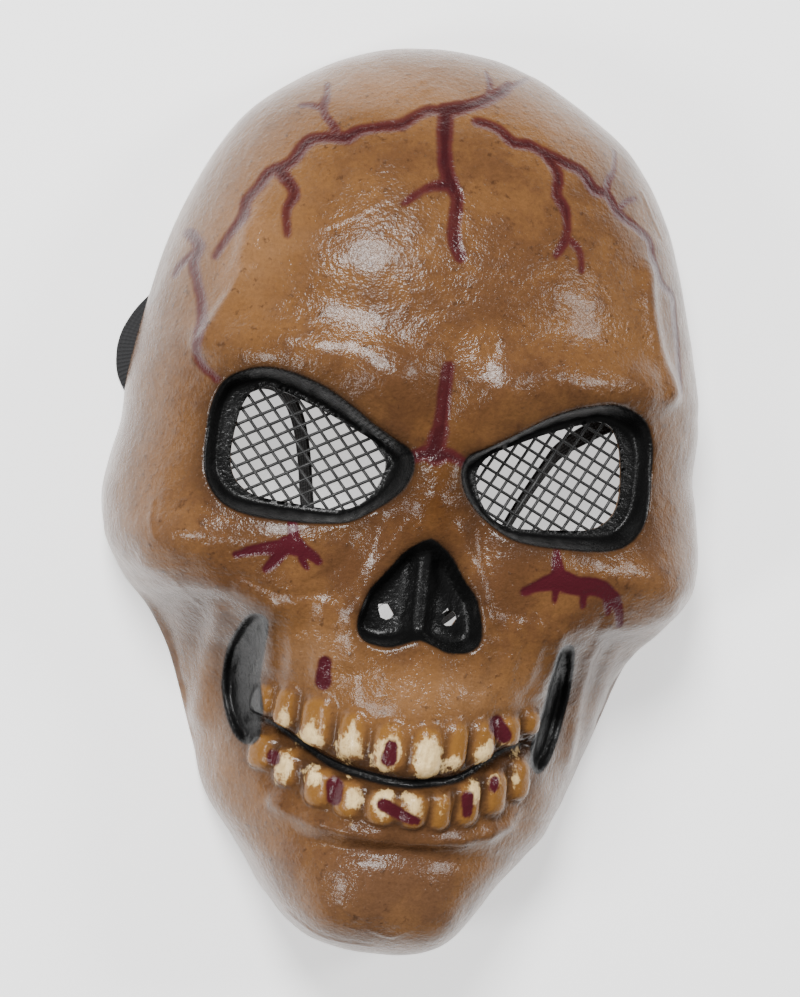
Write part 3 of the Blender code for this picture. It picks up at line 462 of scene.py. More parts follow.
class FaceForm:
    """The shape of the shell's face: sections, relief and what is pressed into it."""

    # Shares of the way from the middle to the rim, of a cell, and a reach round the nostrils in metres
    RING_POWER = 0.9
    FADE_START = 0.93
    UPRIGHT_START = 0.94
    UPRIGHT_RUN = 0.045
    SNAP_SHARE = 0.95
    NOSTRIL_REACH = 0.003

    def __init__(self, sizes: MaskSizes) -> None:
        """Work out the outline and the pressed edges.

        Args:
            sizes: The mask's named sizes.
        """
        self.sizes = sizes
        rows = np.asarray(SECTIONS)
        scale = (sizes.half_width, sizes.half_width, sizes.height)
        line = through(rows[:, [1, 2, 0]] * scale, False, 60)
        self.up = np.maximum.accumulate(line[:, 2])
        self.middle, self.half = line[:, 0], np.maximum(line[:, 1], 0.0)
        left, right = self.middle + self.half, self.middle - self.half
        ring_x = np.concatenate([left, right[-2:0:-1]])
        ring_y = np.concatenate([self.up, self.up[-2:0:-1]])
        self.turn, self.reach = np.unwrap(np.arctan2(ring_y, ring_x)), np.hypot(ring_x, ring_y)
        self.rows_up = rows[:, 0] * sizes.height
        self.depths, self.squareness = rows[:, 3] * sizes.depth, rows[:, 4]
        self.eye_centre = np.array((sizes.eye_spacing / 2, sizes.eye_up * sizes.height))
        self.socket = self.eye_line(SOCKET_EDGE, 4)
        self.eye_hole = self.eye_line(EYE_HOLE_EDGE, 4)
        right_half = np.asarray(NOSE_EDGE) * sizes.nose_width
        whole = np.vstack([right_half, right_half[-2:0:-1] * (-1, 1)])
        self.nose = Line(through(whole + (0, sizes.nose_foot_up * sizes.height), True, 3), True)
        self.slit = Line(through(sizes.placed(SLIT_EDGE), True, 4), True)
        self.mouth = Line(through(sizes.placed(MOUTH_LINE), False, 4))
        turns = np.arange(20) * math.tau / 20
        circle = np.stack([np.cos(turns), np.sin(turns)], axis=1) * sizes.nostril_radius
        centre = (sizes.nostril_spacing / 2, sizes.nostril_up * sizes.height)
        self.nostril = Line(circle + centre, True)

    def eye_line(self, edge: Points, steps: int) -> Line:
        """An edge of the +X eye, from shares of the hole's width."""
        points = np.asarray(edge) * self.sizes.eye_hole_width + self.eye_centre
        return Line(through(points, True, steps), True)

    def rim(self, turn: np.ndarray) -> np.ndarray:
        """Distance of the rim from the middle, in the direction turn."""
        return np.interp(turn, self.turn, self.reach, period=math.tau)

    def plain_height(self, x: np.ndarray, y: np.ndarray) -> np.ndarray:
        """Height of the plain shell, before any relief.

        Args:
            x: Places across.
            y: Places up.

        Returns:
            Heights above the rim.
        """
        width = np.maximum(np.interp(y, self.up, self.half), 1e-6)
        power = np.interp(y, self.rows_up, self.squareness)
        side = np.clip(np.abs(x - np.interp(y, self.up, self.middle)) / width, 0, 1)
        roundness = np.where(y > 0, self.sizes.crown_roundness, self.sizes.chin_roundness)
        end = np.clip(y / np.where(y > 0, self.up[-1], self.up[0]), 0, 1)
        middle = np.interp(y, self.rows_up, self.depths) * (1 - end**roundness) ** (1 / roundness)
        return middle * (1 - side**power) ** (1 / power)

    def soft_relief(self, x: np.ndarray, y: np.ndarray) -> np.ndarray:
        """Rises, hollows and folds that both sides of the face share."""
        sizes, side = self.sizes, np.abs(x)
        rise = np.zeros(x.shape)
        for across, up, wide, tall, lift in RISES:
            share = ((side - across * sizes.half_width) / (wide * sizes.half_width)) ** 2
            share = share + ((y - up * sizes.height) / (tall * sizes.height)) ** 2
            rise = rise + lift * sizes.depth * np.exp(-share)
        for half, lift, points in FOLDS:
            feet = Line(through(sizes.placed(points), False, 4)).feet(side, y)
            fade = eased(5 * feet.along) * eased(5 * (1 - feet.along))
            rise = rise + lift * sizes.depth * fade * np.exp(-((feet.away / (half * sizes.half_width)) ** 2))
        return rise

    def tooth_relief(self, x: np.ndarray, y: np.ndarray) -> np.ndarray:
        """Pillows of the teeth, as a share of their full rise."""
        sizes = self.sizes
        rise = np.zeros(x.shape)
        for across, half, gum, tip in TEETH:
            middle, tall = sizes.height * (gum + tip) / 2, sizes.height * abs(gum - tip) / 2
            wide = np.abs(x - across * sizes.half_width) / (half * sizes.half_width)
            high = np.abs(y - middle) / tall
            pillow = 1 - eased(sizes.tooth_fall * (wide**sizes.tooth_square + high**4))
            rise = np.maximum(rise, pillow)
        return rise

    def socket_floor(self, x: np.ndarray, y: np.ndarray) -> np.ndarray:
        """Height of the flat flange round the eye holes."""
        sizes, (centre_x, centre_y) = self.sizes, self.eye_centre
        middle = self.plain_height(centre_x, centre_y) - sizes.socket_depth
        lean = sizes.socket_lean_up * (y - centre_y) - sizes.socket_lean_out * (np.abs(x) - centre_x)
        return middle + lean

    def pressed(self, x: np.ndarray, y: np.ndarray, z: np.ndarray) -> np.ndarray:
        """The height after the sockets, the nose opening and the cheek slits are pressed in.

        Args:
            x: Places across.
            y: Places up.
            z: Heights before.

        Returns:
            Heights after.
        """
        sizes, side = self.sizes, np.abs(x)
        z = z - sizes.slit_depth * eased(self.slit.inside(side, y) / sizes.slit_wall_run)
        nose = self.nose.inside(x, y)
        ridge = np.exp(-((x / (sizes.septum_half_width * sizes.nose_width)) ** 2))
        fall = eased((nose + sizes.nose_wall_run / 8) / sizes.nose_wall_run)
        z = z - sizes.nose_depth * fall * (1 - sizes.septum_share * ridge)
        socket, hole = self.socket.inside(side, y), self.eye_hole.inside(side, y)
        wall = np.minimum(sizes.socket_wall_run, np.maximum(socket - hole, 1e-4) * 0.8)
        share = eased((socket + wall / 10) / wall)
        return z + (np.minimum(self.socket_floor(x, y), z) - z) * share

    def rim_raise(self, y: np.ndarray, z: np.ndarray) -> np.ndarray:
        """The rim is cut higher at the temples, where the elastic leaves."""
        sizes = self.sizes
        share = np.clip(np.abs(y / sizes.height - sizes.rim_lift_up) / sizes.rim_lift_reach, 0, 1)
        lift = sizes.rim_lift * np.cos(share * math.pi / 2) ** 2
        return z + lift * (1 - np.clip(z / (4 * sizes.rim_lift), 0, 1)) ** 2

    def surface(self, columns: int, rows: int) -> "Sheet":
        """The shell's face on a grid.

        Args:
            columns: Cells across.
            rows: Cells up.

        Returns:
            Its points and edge.
        """
        sizes = self.sizes
        p, q = np.meshgrid(np.linspace(-1, 1, columns + 1), np.linspace(-1, 1, rows + 1), indexing="ij")
        u, v = p * np.sqrt(1 - q * q / 2), q * np.sqrt(1 - p * p / 2)
        turn, ring = np.arctan2(v, u), np.clip(np.hypot(u, v), 0, 1)
        reach = self.rim(turn) * np.sin(ring * math.pi / 2) ** self.RING_POWER
        x, y = reach * np.cos(turn), reach * np.sin(turn)
        edge = (np.abs(p) == 1) | (np.abs(q) == 1)
        plain = np.stack([x, y, np.where(edge, 0.0, self.plain_height(x, y))], axis=2)
        normal = self.settled(grid_normals(plain), plain, ring)
        groove = sizes.mouth_depth * (1 - eased(self.mouth.feet(x, y).away / sizes.mouth_gap))
        relief = self.soft_relief(x, y) + sizes.tooth_rise * self.tooth_relief(x, y) - groove
        relief = relief + FineRelief(sizes).height(x, y)
        plain += normal * (relief * (1 - eased((ring - self.FADE_START) / (1 - self.FADE_START))))[..., None]
        across, up = self.snapped(plain[..., 0], plain[..., 1], self.SNAP_SHARE * sizes.width / columns)
        height = self.pressed(across, up, plain[..., 2])
        height = np.where(np.abs(across) > sizes.half_width / 2, self.rim_raise(up, height), height).clip(0)
        return Sheet(np.stack([across, up, height], axis=2), edge, ring, x, y)

    def settled(self, normal: np.ndarray, points: np.ndarray, ring: np.ndarray) -> np.ndarray:
        """Unit normals, turned straight outward towards the rim and straight up at the nostrils.

        Args:
            normal: The grid's own normals.
            points: The grid's points.
            ring: Share of the way from the middle to the rim.

        Returns:
            The new normals.
        """
        outward = np.zeros(points.shape)
        outward[..., :2] = points[..., :2] / np.linalg.norm(points[..., :2], axis=2, keepdims=True).clip(1e-6)
        rim = eased((ring - self.UPRIGHT_START) / self.UPRIGHT_RUN)[..., None]
        away = self.nostril.feet(np.abs(points[..., 0]), points[..., 1]).away
        near = np.exp(-((away / self.NOSTRIL_REACH) ** 2))[..., None]
        mixed = (normal * (1 - near) + np.array((0.0, 0.0, 1.0)) * near) * (1 - rim) + outward * rim
        return mixed / np.linalg.norm(mixed, axis=2, keepdims=True).clip(1e-9)

    def snapped(self, x: np.ndarray, y: np.ndarray, reach: float) -> tuple[np.ndarray, np.ndarray]:
        """Places near the edge of a hole are slid onto it, so that the edge comes out clean.

        Args:
            x: Places across.
            y: Places up.
            reach: How near counts.

        Returns:
            The new places across and up.
        """
        side, sign = np.abs(x), np.where(x < 0, -1.0, 1.0)
        best, new_x, new_y = np.full(x.shape, reach), side, y
        for line in (self.eye_hole, self.nostril):
            feet = line.feet(side, y)
            nearer = feet.away < best
            best = np.where(nearer, feet.away, best)
            new_x, new_y = np.where(nearer, feet.x, new_x), np.where(nearer, feet.y, new_y)
        return new_x * sign, new_y


@dataclass(frozen=True)
class FineRelief:
    """Relief finer than the model's, with its sizes in metres: lacquer, creases, roots and an uneven skin."""

    sizes: MaskSizes
    ridge_rise: float = 0.00025
    ridge_edge: float = 0.0006
    ridge_run: float = 0.0008
    crease_drop: float = 0.00045
    crease_edge: float = 0.0016
    crease_run: float = 0.0030
    root_rise: float = 0.00055
    root_fall: float = 1.6
    root_middle: float = 0.020
    root_half: float = 0.026
    swell_rise: float = 0.000028
    swell_count: int = 26
    swell_size: float = 0.010
    swell_range: tuple[float, float] = (0.005, 0.015)
    plain_share: float = 0.35
    rough_zones: Points = ((-0.055, 0.050, 0.65), (0.036, 0.012, 0.40))
    seed: int = 7

    def height(self, x: np.ndarray, y: np.ndarray) -> np.ndarray:
        """All of the fine relief.

        Args:
            x: Places across.
            y: Places up.

        Returns:
            Heights along the normal.
        """
        lacquer = StrokeField(LACQUER, 0.0).signed(x, y)
        crease = StrokeField(CREASES, 0.0).signed(x, y)
        ridge = self.ridge_rise * eased((lacquer + self.ridge_edge) / self.ridge_run)
        pits = self.crease_drop * eased((crease + self.crease_edge) / self.crease_run)
        return ridge - pits + self.root_rise * self.roots(x, y) + self.swell_rise * self.swells(x, y)

    def roots(self, x: np.ndarray, y: np.ndarray) -> np.ndarray:
        """Ridges over the roots of the teeth, as a share of their rise."""
        rise = np.zeros(x.shape)
        for across, half, gum, tip in TEETH:
            middle = gum + math.copysign(self.root_middle, gum - tip)
            beyond = np.abs(y / self.sizes.height - middle) / self.root_half
            wide = (x / self.sizes.half_width - across) / half
            rise = np.maximum(rise, np.exp(-self.root_fall * wide**2) * (1 - eased(beyond)))
        return rise

    def swells(self, x: np.ndarray, y: np.ndarray) -> np.ndarray:
        """Low waves in all directions, stronger at the jaw and the brow."""
        chance = np.random.default_rng(self.seed)
        uneven, rough = np.zeros(x.shape), np.full(x.shape, self.plain_share)
        for _ in range(self.swell_count):
            turn, wave = chance.uniform(0, math.tau), chance.uniform(*self.swell_range)
            ahead = (x * math.cos(turn) + y * math.sin(turn)) * math.tau / wave
            uneven += wave / self.swell_size * np.cos(ahead + chance.uniform(0, math.tau))
        for up, tall, share in self.rough_zones:
            rough += share * np.exp(-((y - up) / tall) ** 2)
        return rough * uneven


@dataclass(frozen=True)
class Sheet:
    """A grid of points on the shell, with the places on the face that they came from."""

    points: np.ndarray
    edge: np.ndarray
    ring: np.ndarray
    across: np.ndarray
    up: np.ndarray


def grid_normals(points: np.ndarray) -> np.ndarray:
    """Unit normals of a grid of points."""
    normal = np.cross(np.gradient(points, axis=0), np.gradient(points, axis=1))
    return normal / np.maximum(np.linalg.norm(normal, axis=2, keepdims=True), 1e-12)


def smoothed(values: np.ndarray, rounds: int) -> np.ndarray:
    """A grid of vectors, each averaged with its neighbours a number of times."""
    for _ in range(rounds):
        padded = np.pad(values, ((1, 1), (1, 1), (0, 0)), mode="edge")
        values = (padded[:-2, 1:-1] + padded[2:, 1:-1] + padded[1:-1, :-2] + padded[1:-1, 2:] + values) / 5
    return values


@dataclass(frozen=True)
class StrokeField:
    """Painted strokes with a width that runs from one value to another, from a table in millimetres."""

    strokes: Sequence[tuple[float, float, Points]]
    shift_up: float = -0.0013
    reach: float = 0.008

    def signed(self, x: np.ndarray, y: np.ndarray) -> np.ndarray:
        """Distance inside the nearest stroke's edge, above 0 in the paint.

        Args:
            x: Places across.
            y: Places up.

        Returns:
            Signed distances in metres.
        """
        best = np.full(x.shape, FAR)
        for start, end, points in self.strokes:
            line = Line(through(np.asarray(points, float) * MILLIMETRE + (0, self.shift_up), False, 3))
            low, high = line.points.min(axis=0) - self.reach, line.points.max(axis=0) + self.reach
            near = (x > low[0]) & (x < high[0]) & (y > low[1]) & (y < high[1])
            feet = line.feet(x[near], y[near])
            half = (start + (end - start) * feet.along) * MILLIMETRE
            best[near] = np.maximum(best[near], half - feet.away)
        return best


def patch_field(x: np.ndarray, y: np.ndarray, patches: Points, shift_up: float = -0.0013) -> np.ndarray:
    """Distance inside the nearest oval patch, above 0 in it.

    Args:
        x: Places across.
        y: Places up.
        patches: Rows of across, up and half sizes, in millimetres.
        shift_up: How far the patches move up the face.

    Returns:
        Signed distances in metres.
    """
    best = np.full(x.shape, FAR)
    for across, up, wide, tall in patches:
        share = np.hypot((x - across * MILLIMETRE) / (wide * MILLIMETRE),
                         (y - up * MILLIMETRE - shift_up) / (tall * MILLIMETRE))
        best = np.maximum(best, (1 - share) * min(wide, tall) * MILLIMETRE)
    return best


class Term:
    """A shader socket that takes part in arithmetic."""

    def __init__(self, graph: "Graph", socket: bpy.types.NodeSocket) -> None:
        """Wrap an output socket of the graph."""
        self.graph, self.socket = graph, socket

    def _math(self, kind: str, *values: "Term | float") -> "Term":
        """A Math node on these values."""
        return self.graph.add("ShaderNodeMath", {"operation": kind}, dict(enumerate(values)))

    def __add__(self, other: "Term | float") -> "Term":
        """The sum."""
        return self._math("ADD", self, other)

    __radd__ = __add__

    def __sub__(self, other: "Term | float") -> "Term":
        """The difference."""
        return self._math("SUBTRACT", self, other)

    def __rsub__(self, other: "Term | float") -> "Term":
        """The difference, the other way round."""
        return self._math("SUBTRACT", other, self)

    def __mul__(self, other: "Term | float") -> "Term":
        """The product."""
        return self._math("MULTIPLY", self, other)

    __rmul__ = __mul__

    def least(self, other: "Term | float") -> "Term":
        """The smaller of the two."""
        return self._math("MINIMUM", self, other)

    def ramp(self, low: float, high: float) -> "Term":
        """0 at low and 1 at high, eased between."""
        settings = {"interpolation_type": "SMOOTHSTEP"}
        return self.graph.add("ShaderNodeMapRange", settings, {0: self, 1: low, 2: high, 3: 0.0, 4: 1.0})


class Graph:
    """A material's nodes, and the Principled shader that they feed."""

    # Sockets of the Mix node when it mixes colours
    MIX_SHARE, MIX_FIRST, MIX_SECOND, MIX_COLOUR = 0, 6, 7, 2

    def __init__(self, name: str) -> None:
        """Make a material with a Principled shader.

        Args:
            name: The material's name.
        """
        self.material = bpy.data.materials.new(name)
        self.material.use_nodes = True
        self.tree = self.material.node_tree
        self.shader = self.tree.nodes["Principled BSDF"]

    def add(self, kind: str, settings: dict[str, object], inputs: dict, output: int | str = 0) -> Term:
        """A node of any kind.

        Args:
            kind: The node's type.
            settings: Properties that are set first.
            inputs: Values or terms by the socket's number or name.
            output: The socket that is returned.

        Returns:
            The node's output.
        """
        node = self.tree.nodes.new(kind)
        for key, value in settings.items():
            setattr(node, key, value)
        for key, value in inputs.items():
            self.set(node.inputs[key], value)
        return Term(self, node.outputs[output])

    def set(self, socket: bpy.types.NodeSocket, value: object) -> None:
        """Give a socket a value or a link."""
        if isinstance(value, Term):
            self.tree.links.new(value.socket, socket)
        else:
            socket.default_value = value

    def attribute(self, name: str) -> Term:
        """A number kept on the mesh's points."""
        return self.add("ShaderNodeAttribute", {"attribute_name": name}, {}, "Fac")

    def place(self, stretch: tuple[float, float, float] = (1, 1, 1)) -> Term:
        """Object coordinates, stretched along each axis."""
        where = self.add("ShaderNodeTexCoord", {}, {}, "Object")
        return self.add("ShaderNodeVectorMath", {"operation": "MULTIPLY"}, {0: where, 1: stretch})

    def noise(self, where: Term, size: float, detail: float = 3.0, rough: float = 0.55) -> Term:
        """Noise from 0 to 1 whose features are about as large as size, in metres."""
        inputs = {"Vector": where, "Scale": 1 / size, "Detail": detail, "Roughness": rough}
        return self.add("ShaderNodeTexNoise", {}, inputs, 0)

    def mixed(self, share: Term | float, first: object, second: object) -> Term:
        """A colour between two.

        Args:
            share: 0 for the first and 1 for the second.
            first: A colour or a term.
            second: A colour or a term.

        Returns:
            The mixed colour.
        """
        first, second = (k if isinstance(k, Term) else (*k, 1.0) for k in (first, second))
        inputs = {self.MIX_SHARE: share, self.MIX_FIRST: first, self.MIX_SECOND: second}
        return self.add("ShaderNodeMix", {"data_type": "RGBA"}, inputs, self.MIX_COLOUR)

    def scaled(self, colour: Term, factor: Term | float) -> Term:
        """A colour made lighter or darker."""
        return self.add("ShaderNodeVectorMath", {"operation": "SCALE"}, {0: colour, "Scale": factor})

    def bump(self, height: Term, strength: float, distance: float) -> Term:
        """A normal from heights."""
        inputs = {"Height": height, "Strength": strength, "Distance": distance}
        return self.add("ShaderNodeBump", {}, inputs)

    def feed(self, **inputs: object) -> bpy.types.Material:
        """Set the shader's sockets, by name with _ for a space, and return the material."""
        for key, value in inputs.items():
            self.set(self.shader.inputs[key.replace("_", " ")], value)
        return self.material


Colour = tuple[float, float, float]


@dataclass(frozen=True)
class PaintNoise:
    """The noises that all of the bone's paints share, and the raggedness of their edges in metres."""

    blotch: Term
    patch: Term
    grain: Term
    speck: Term
    streak: Term
    ragged: Term


@dataclass(frozen=True)
class BoneFinish:
    """Stained bone paint under a clear coat, with black sockets, maroon cracks and cream teeth."""

    tan: Colour = (0.140, 0.064, 0.022)
    # This and the next colour also give the painted sheen and the painted shade over the stain
    pale_tan: Colour = (0.215, 0.110, 0.050)
    brown: Colour = (0.080, 0.035, 0.014)
    # Also the colour of the painted shade in hollows, as well as of the dark specks of dust
    deep: Colour = (0.022, 0.010, 0.005)
    # The colour of the painted reflection at the sides and under the chin
    painted_reflection: Colour = (0.150, 0.088, 0.055)
    amber: Colour = (0.052, 0.018, 0.003)
    gold: Colour = (0.190, 0.085, 0.018)
    cream: Colour = (0.740, 0.540, 0.260)
    maroon: Colour = (0.048, 0.006, 0.010)
    dark_maroon: Colour = (0.018, 0.002, 0.004)
    black: Colour = (0.004, 0.004, 0.004)
    blotch_size: float = 0.030
    patch_size: float = 0.009
    speck_size: float = 0.0030
    streak_size: float = 0.0016
    grain_size: float = 0.0011
    stroke_half: float = 0.0008
    bump_depth: float = 0.0009

    def material(self) -> bpy.types.Material:
        """The painted face's material, from the fields kept on its mesh.

        Returns:
            The material.
        """
        g = Graph("stained_bone_paint")
        noise = self.noises(g)
        crack, blood = g.attribute("crack"), g.attribute("blood")
        colour = self.toothed(g, noise, self.stained(g, noise))
        colour = self.marked(g, noise.ragged, colour, crack, blood)
        black = (g.attribute("dark") + noise.ragged * 0.35).ramp(-0.0005, 0.0003)
        colour = g.mixed(black, colour, self.black)

        half = self.stroke_half
        paint = (crack.ramp(-half, half) + blood.ramp(-half, half)) * 0.5
        height = noise.grain * 0.25 + noise.speck * 0.5 + noise.patch * 0.8 - paint * 0.9
        roughness = 0.20 + (noise.patch - 0.5) * 0.26 + black * 0.12
        return g.feed(Base_Color=colour, Roughness=roughness, Coat_Weight=0.10 - black * 0.07,
                      Coat_Roughness=0.05, Coat_IOR=1.36, Specular_IOR_Level=0.17,
                      Normal=g.bump(height, 0.75, self.bump_depth))

    def noises(self, g: Graph) -> PaintNoise:
        """The noises that the paints share."""
        where = g.place()
        blotch, patch = g.noise(where, self.blotch_size, 4.0), g.noise(where, self.patch_size, 4.0, 0.6)
        grain, speck = (g.noise(where, size, detail, 0.7)
                        for size, detail in ((self.grain_size, 2.0), (self.speck_size, 3.0)))
        streak = g.noise(g.place((1.0, 0.25, 0.25)), self.streak_size, 3.0, 0.7)
        ragged = (patch - 0.5) * 0.0016 + (grain - 0.5) * 0.0006
        return PaintNoise(blotch, patch, grain, speck, streak, ragged)

    def stained(self, g: Graph, noise: PaintNoise) -> Term:
        """The bone's stain, tan and brown and dusted with specks, with painted shade and sheen over it, a
        painted reflection that makes it paler at the sides and painted shade that makes it deep in hollows.

        Args:
            g: The material's graph.
            noise: The shared noises.

        Returns:
            The colour.
        """
        patch, speck = noise.patch, noise.speck
        shade, hollow_shade = g.attribute("shade"), g.attribute("hollow_shade")
        stain = (noise.blotch * 0.55 + patch * 0.45 + (speck - 0.5) * 0.30).ramp(0.36, 0.64)
        # Painted shade darkens and painted sheen lightens the stain, together with its own uneven tone
        colour = g.mixed((stain * 0.75 + shade * 1.35 + 0.08).ramp(0.0, 1.05), self.tan, self.brown)
        colour = g.mixed((shade * -2.2 + (patch - 0.5)).ramp(0.0, 1.0) * 0.8, colour, self.pale_tan)
        # Painted reflection: the paler, hazier colour at the sides and under the chin
        colour = g.mixed(g.attribute("painted_reflection") * (0.7 + 0.3 * patch), colour, self.painted_reflection)
        colour = g.mixed(g.attribute("amber") * (0.5 + patch * 0.6), colour, self.amber)
        # Painted shade in the hollows, between the teeth and round the black edges
        colour = g.mixed((hollow_shade * (0.7 + patch * 0.6)).least(0.9), colour, self.deep)
        dust = speck.ramp(0.58, 0.72) * 0.55
        colour = g.mixed(dust * (1 - hollow_shade), colour, self.deep)
        return g.scaled(colour, (noise.grain * 0.6 + speck * 0.4).ramp(0.25, 0.75) * 0.36 + 0.82)

    def toothed(self, g: Graph, noise: PaintNoise, colour: Term) -> Term:
        """Golden teeth with worn cream patches, over the stain.

        Args:
            g: The material's graph.
            noise: The shared noises.
            colour: The colour beneath.

        Returns:
            The colour.
        """
        patch, speck, streak = noise.patch, noise.speck, noise.streak
        colour = g.mixed((g.attribute("tooth") * (0.5 + streak)).ramp(0.25, 0.95) * 0.8, colour, self.gold)
        worn = (patch - 0.5) * 0.0070 + (speck - 0.5) * 0.0050 + (streak - 0.5) * 0.0040
        enamel = g.mixed((speck * 0.5 + streak * 0.5).ramp(0.40, 0.62) * 0.45, self.cream, self.gold)
        return g.mixed((g.attribute("cream") + worn).ramp(-0.0007, 0.0008), colour, enamel)

    def marked(self, g: Graph, ragged: Term, colour: Term, crack: Term, blood: Term) -> Term:
        """Maroon cracks, darker in the middle, and maroon strokes.

        Args:
            g: The material's graph.
            ragged: How far the edges wander, in metres.
            colour: The colour beneath.
            crack: Distance inside the cracks' edges.
            blood: Distance inside the strokes' edges.

        Returns:
            The colour.
        """
        colour = g.mixed((crack + ragged).ramp(-0.0011, 0.0003) * 0.85, colour, self.maroon)
        colour = g.mixed((crack + ragged).ramp(0.0002, 0.0015) * 0.7, colour, self.dark_maroon)
        return g.mixed((blood + ragged).ramp(-0.0009, 0.0002), colour, self.maroon)


@dataclass(frozen=True)
class BackFinish:
    """The bare back of the formed plastic."""

    plastic: Colour = (0.120, 0.066, 0.032)
    worn: Colour = (0.080, 0.042, 0.020)

    def material(self) -> bpy.types.Material:
        """Plain plastic with a slight cloudiness."""
        g = Graph("bare_plastic_back")
        where = g.place()
        cloud, grain = g.noise(where, 0.022, 3.0), g.noise(where, 0.0014, 2.0)
        colour = g.mixed(cloud.ramp(0.35, 0.7), self.plastic, self.worn)
        normal = g.bump(grain + cloud, 0.25, 0.0004)
        return g.feed(Base_Color=colour, Roughness=0.42 + (cloud - 0.5) * 0.2, Specular_IOR_Level=0.5,
                      Normal=normal)


@dataclass(frozen=True)
class NetFinish:
    """Black coated strands."""

    black: Colour = (0.004, 0.004, 0.004)
    grey: Colour = (0.012, 0.012, 0.013)

    def material(self, side: Side) -> bpy.types.Material:
        """Coated strand with a faint twist.

        Args:
            side: The eye that it is for.

        Returns:
            The material.
        """
        g = Graph(f"black_net_{side.word}")
        fibre = g.noise(g.place((1, 1, 3)), 0.0007, 2.0, 0.7)
        colour = g.mixed(fibre.ramp(0.45, 0.8) * 0.6, self.black, self.grey)
        return g.feed(Base_Color=colour, Roughness=0.5 + (fibre - 0.5) * 0.3,
                      Normal=g.bump(fibre, 0.4, 0.0002))


@dataclass(frozen=True)
class ElasticFinish:
    """Black woven elastic: ribs along it and the weave across."""

    black: Colour = (0.003, 0.003, 0.004)
    light: Colour = (0.016, 0.016, 0.018)

    def material(self) -> bpy.types.Material:
        """Woven black yarn, from the places kept along and across the strap."""
        g = Graph("black_woven_elastic")
        along, across = g.attribute("along"), g.attribute("across")
        fibre = g.noise(g.place(), 0.0004, 2.0, 0.7)
        pick = g.add("ShaderNodeMath", {"operation": "SINE"}, {0: along * (math.tau / 0.0011) + across * 6.0})
        weave = pick * 0.5 + 0.5
        colour = g.mixed((weave * fibre).ramp(0.3, 0.75) * 0.7, self.black, self.light)
        height = weave * 0.7 + fibre * 0.5
        return g.feed(Base_Color=colour, Roughness=0.78 + (fibre - 0.5) * 0.2, Sheen_Weight=0.25,
                      Normal=g.bump(height, 0.8, 0.0003))


@dataclass(frozen=True)
class FloorFinish:
    """A plain pale light table, which glows softly."""

    pale: Colour = (0.85, 0.85, 0.85)
    glow: float = 0.8

    def material(self) -> bpy.types.Material:
        """A plain pale surface."""
        g = Graph("pale_light_table")
        return g.feed(Base_Color=(*self.pale, 1.0), Roughness=0.9, Emission_Color=(1.0, 1.0, 1.0, 1.0),
                      Emission_Strength=self.glow)


def make_piece(name: str, vertices: np.ndarray, faces: Sequence[Sequence[int]],
               material: bpy.types.Material) -> bpy.types.Object:
    """A smooth shaded mesh object with one material.

    Args:
        name: The object's name.
        vertices: Points, one row each.
        faces: Corners of each face.
        material: Its finish.

    Returns:
        The new object.
    """
    mesh = bpy.data.meshes.new(name)
    mesh.from_pydata(vertices.tolist(), [], faces)
    mesh.shade_smooth()
    mesh.materials.append(material)
    piece = bpy.data.objects.new(name, mesh)
    bpy.context.scene.collection.objects.link(piece)
    return piece


def add_field(piece: bpy.types.Object, name: str, values: np.ndarray) -> None:
    """Keep a number on each point of the mesh for its material."""
    attribute = piece.data.attributes.new(name, "FLOAT", "POINT")
    attribute.data.foreach_set("value", np.asarray(values, np.float32).ravel())


def border_places(columns: int, rows: int) -> list[int]:
    """Numbers of a grid's border points, anticlockwise from its first corner."""
    step = rows + 1
    places = [i * step for i in range(columns + 1)]
    places += [columns * step + j for j in range(1, rows + 1)]
    places += [i * step + rows for i in reversed(range(columns))]
    return places + list(reversed(range(1, rows)))


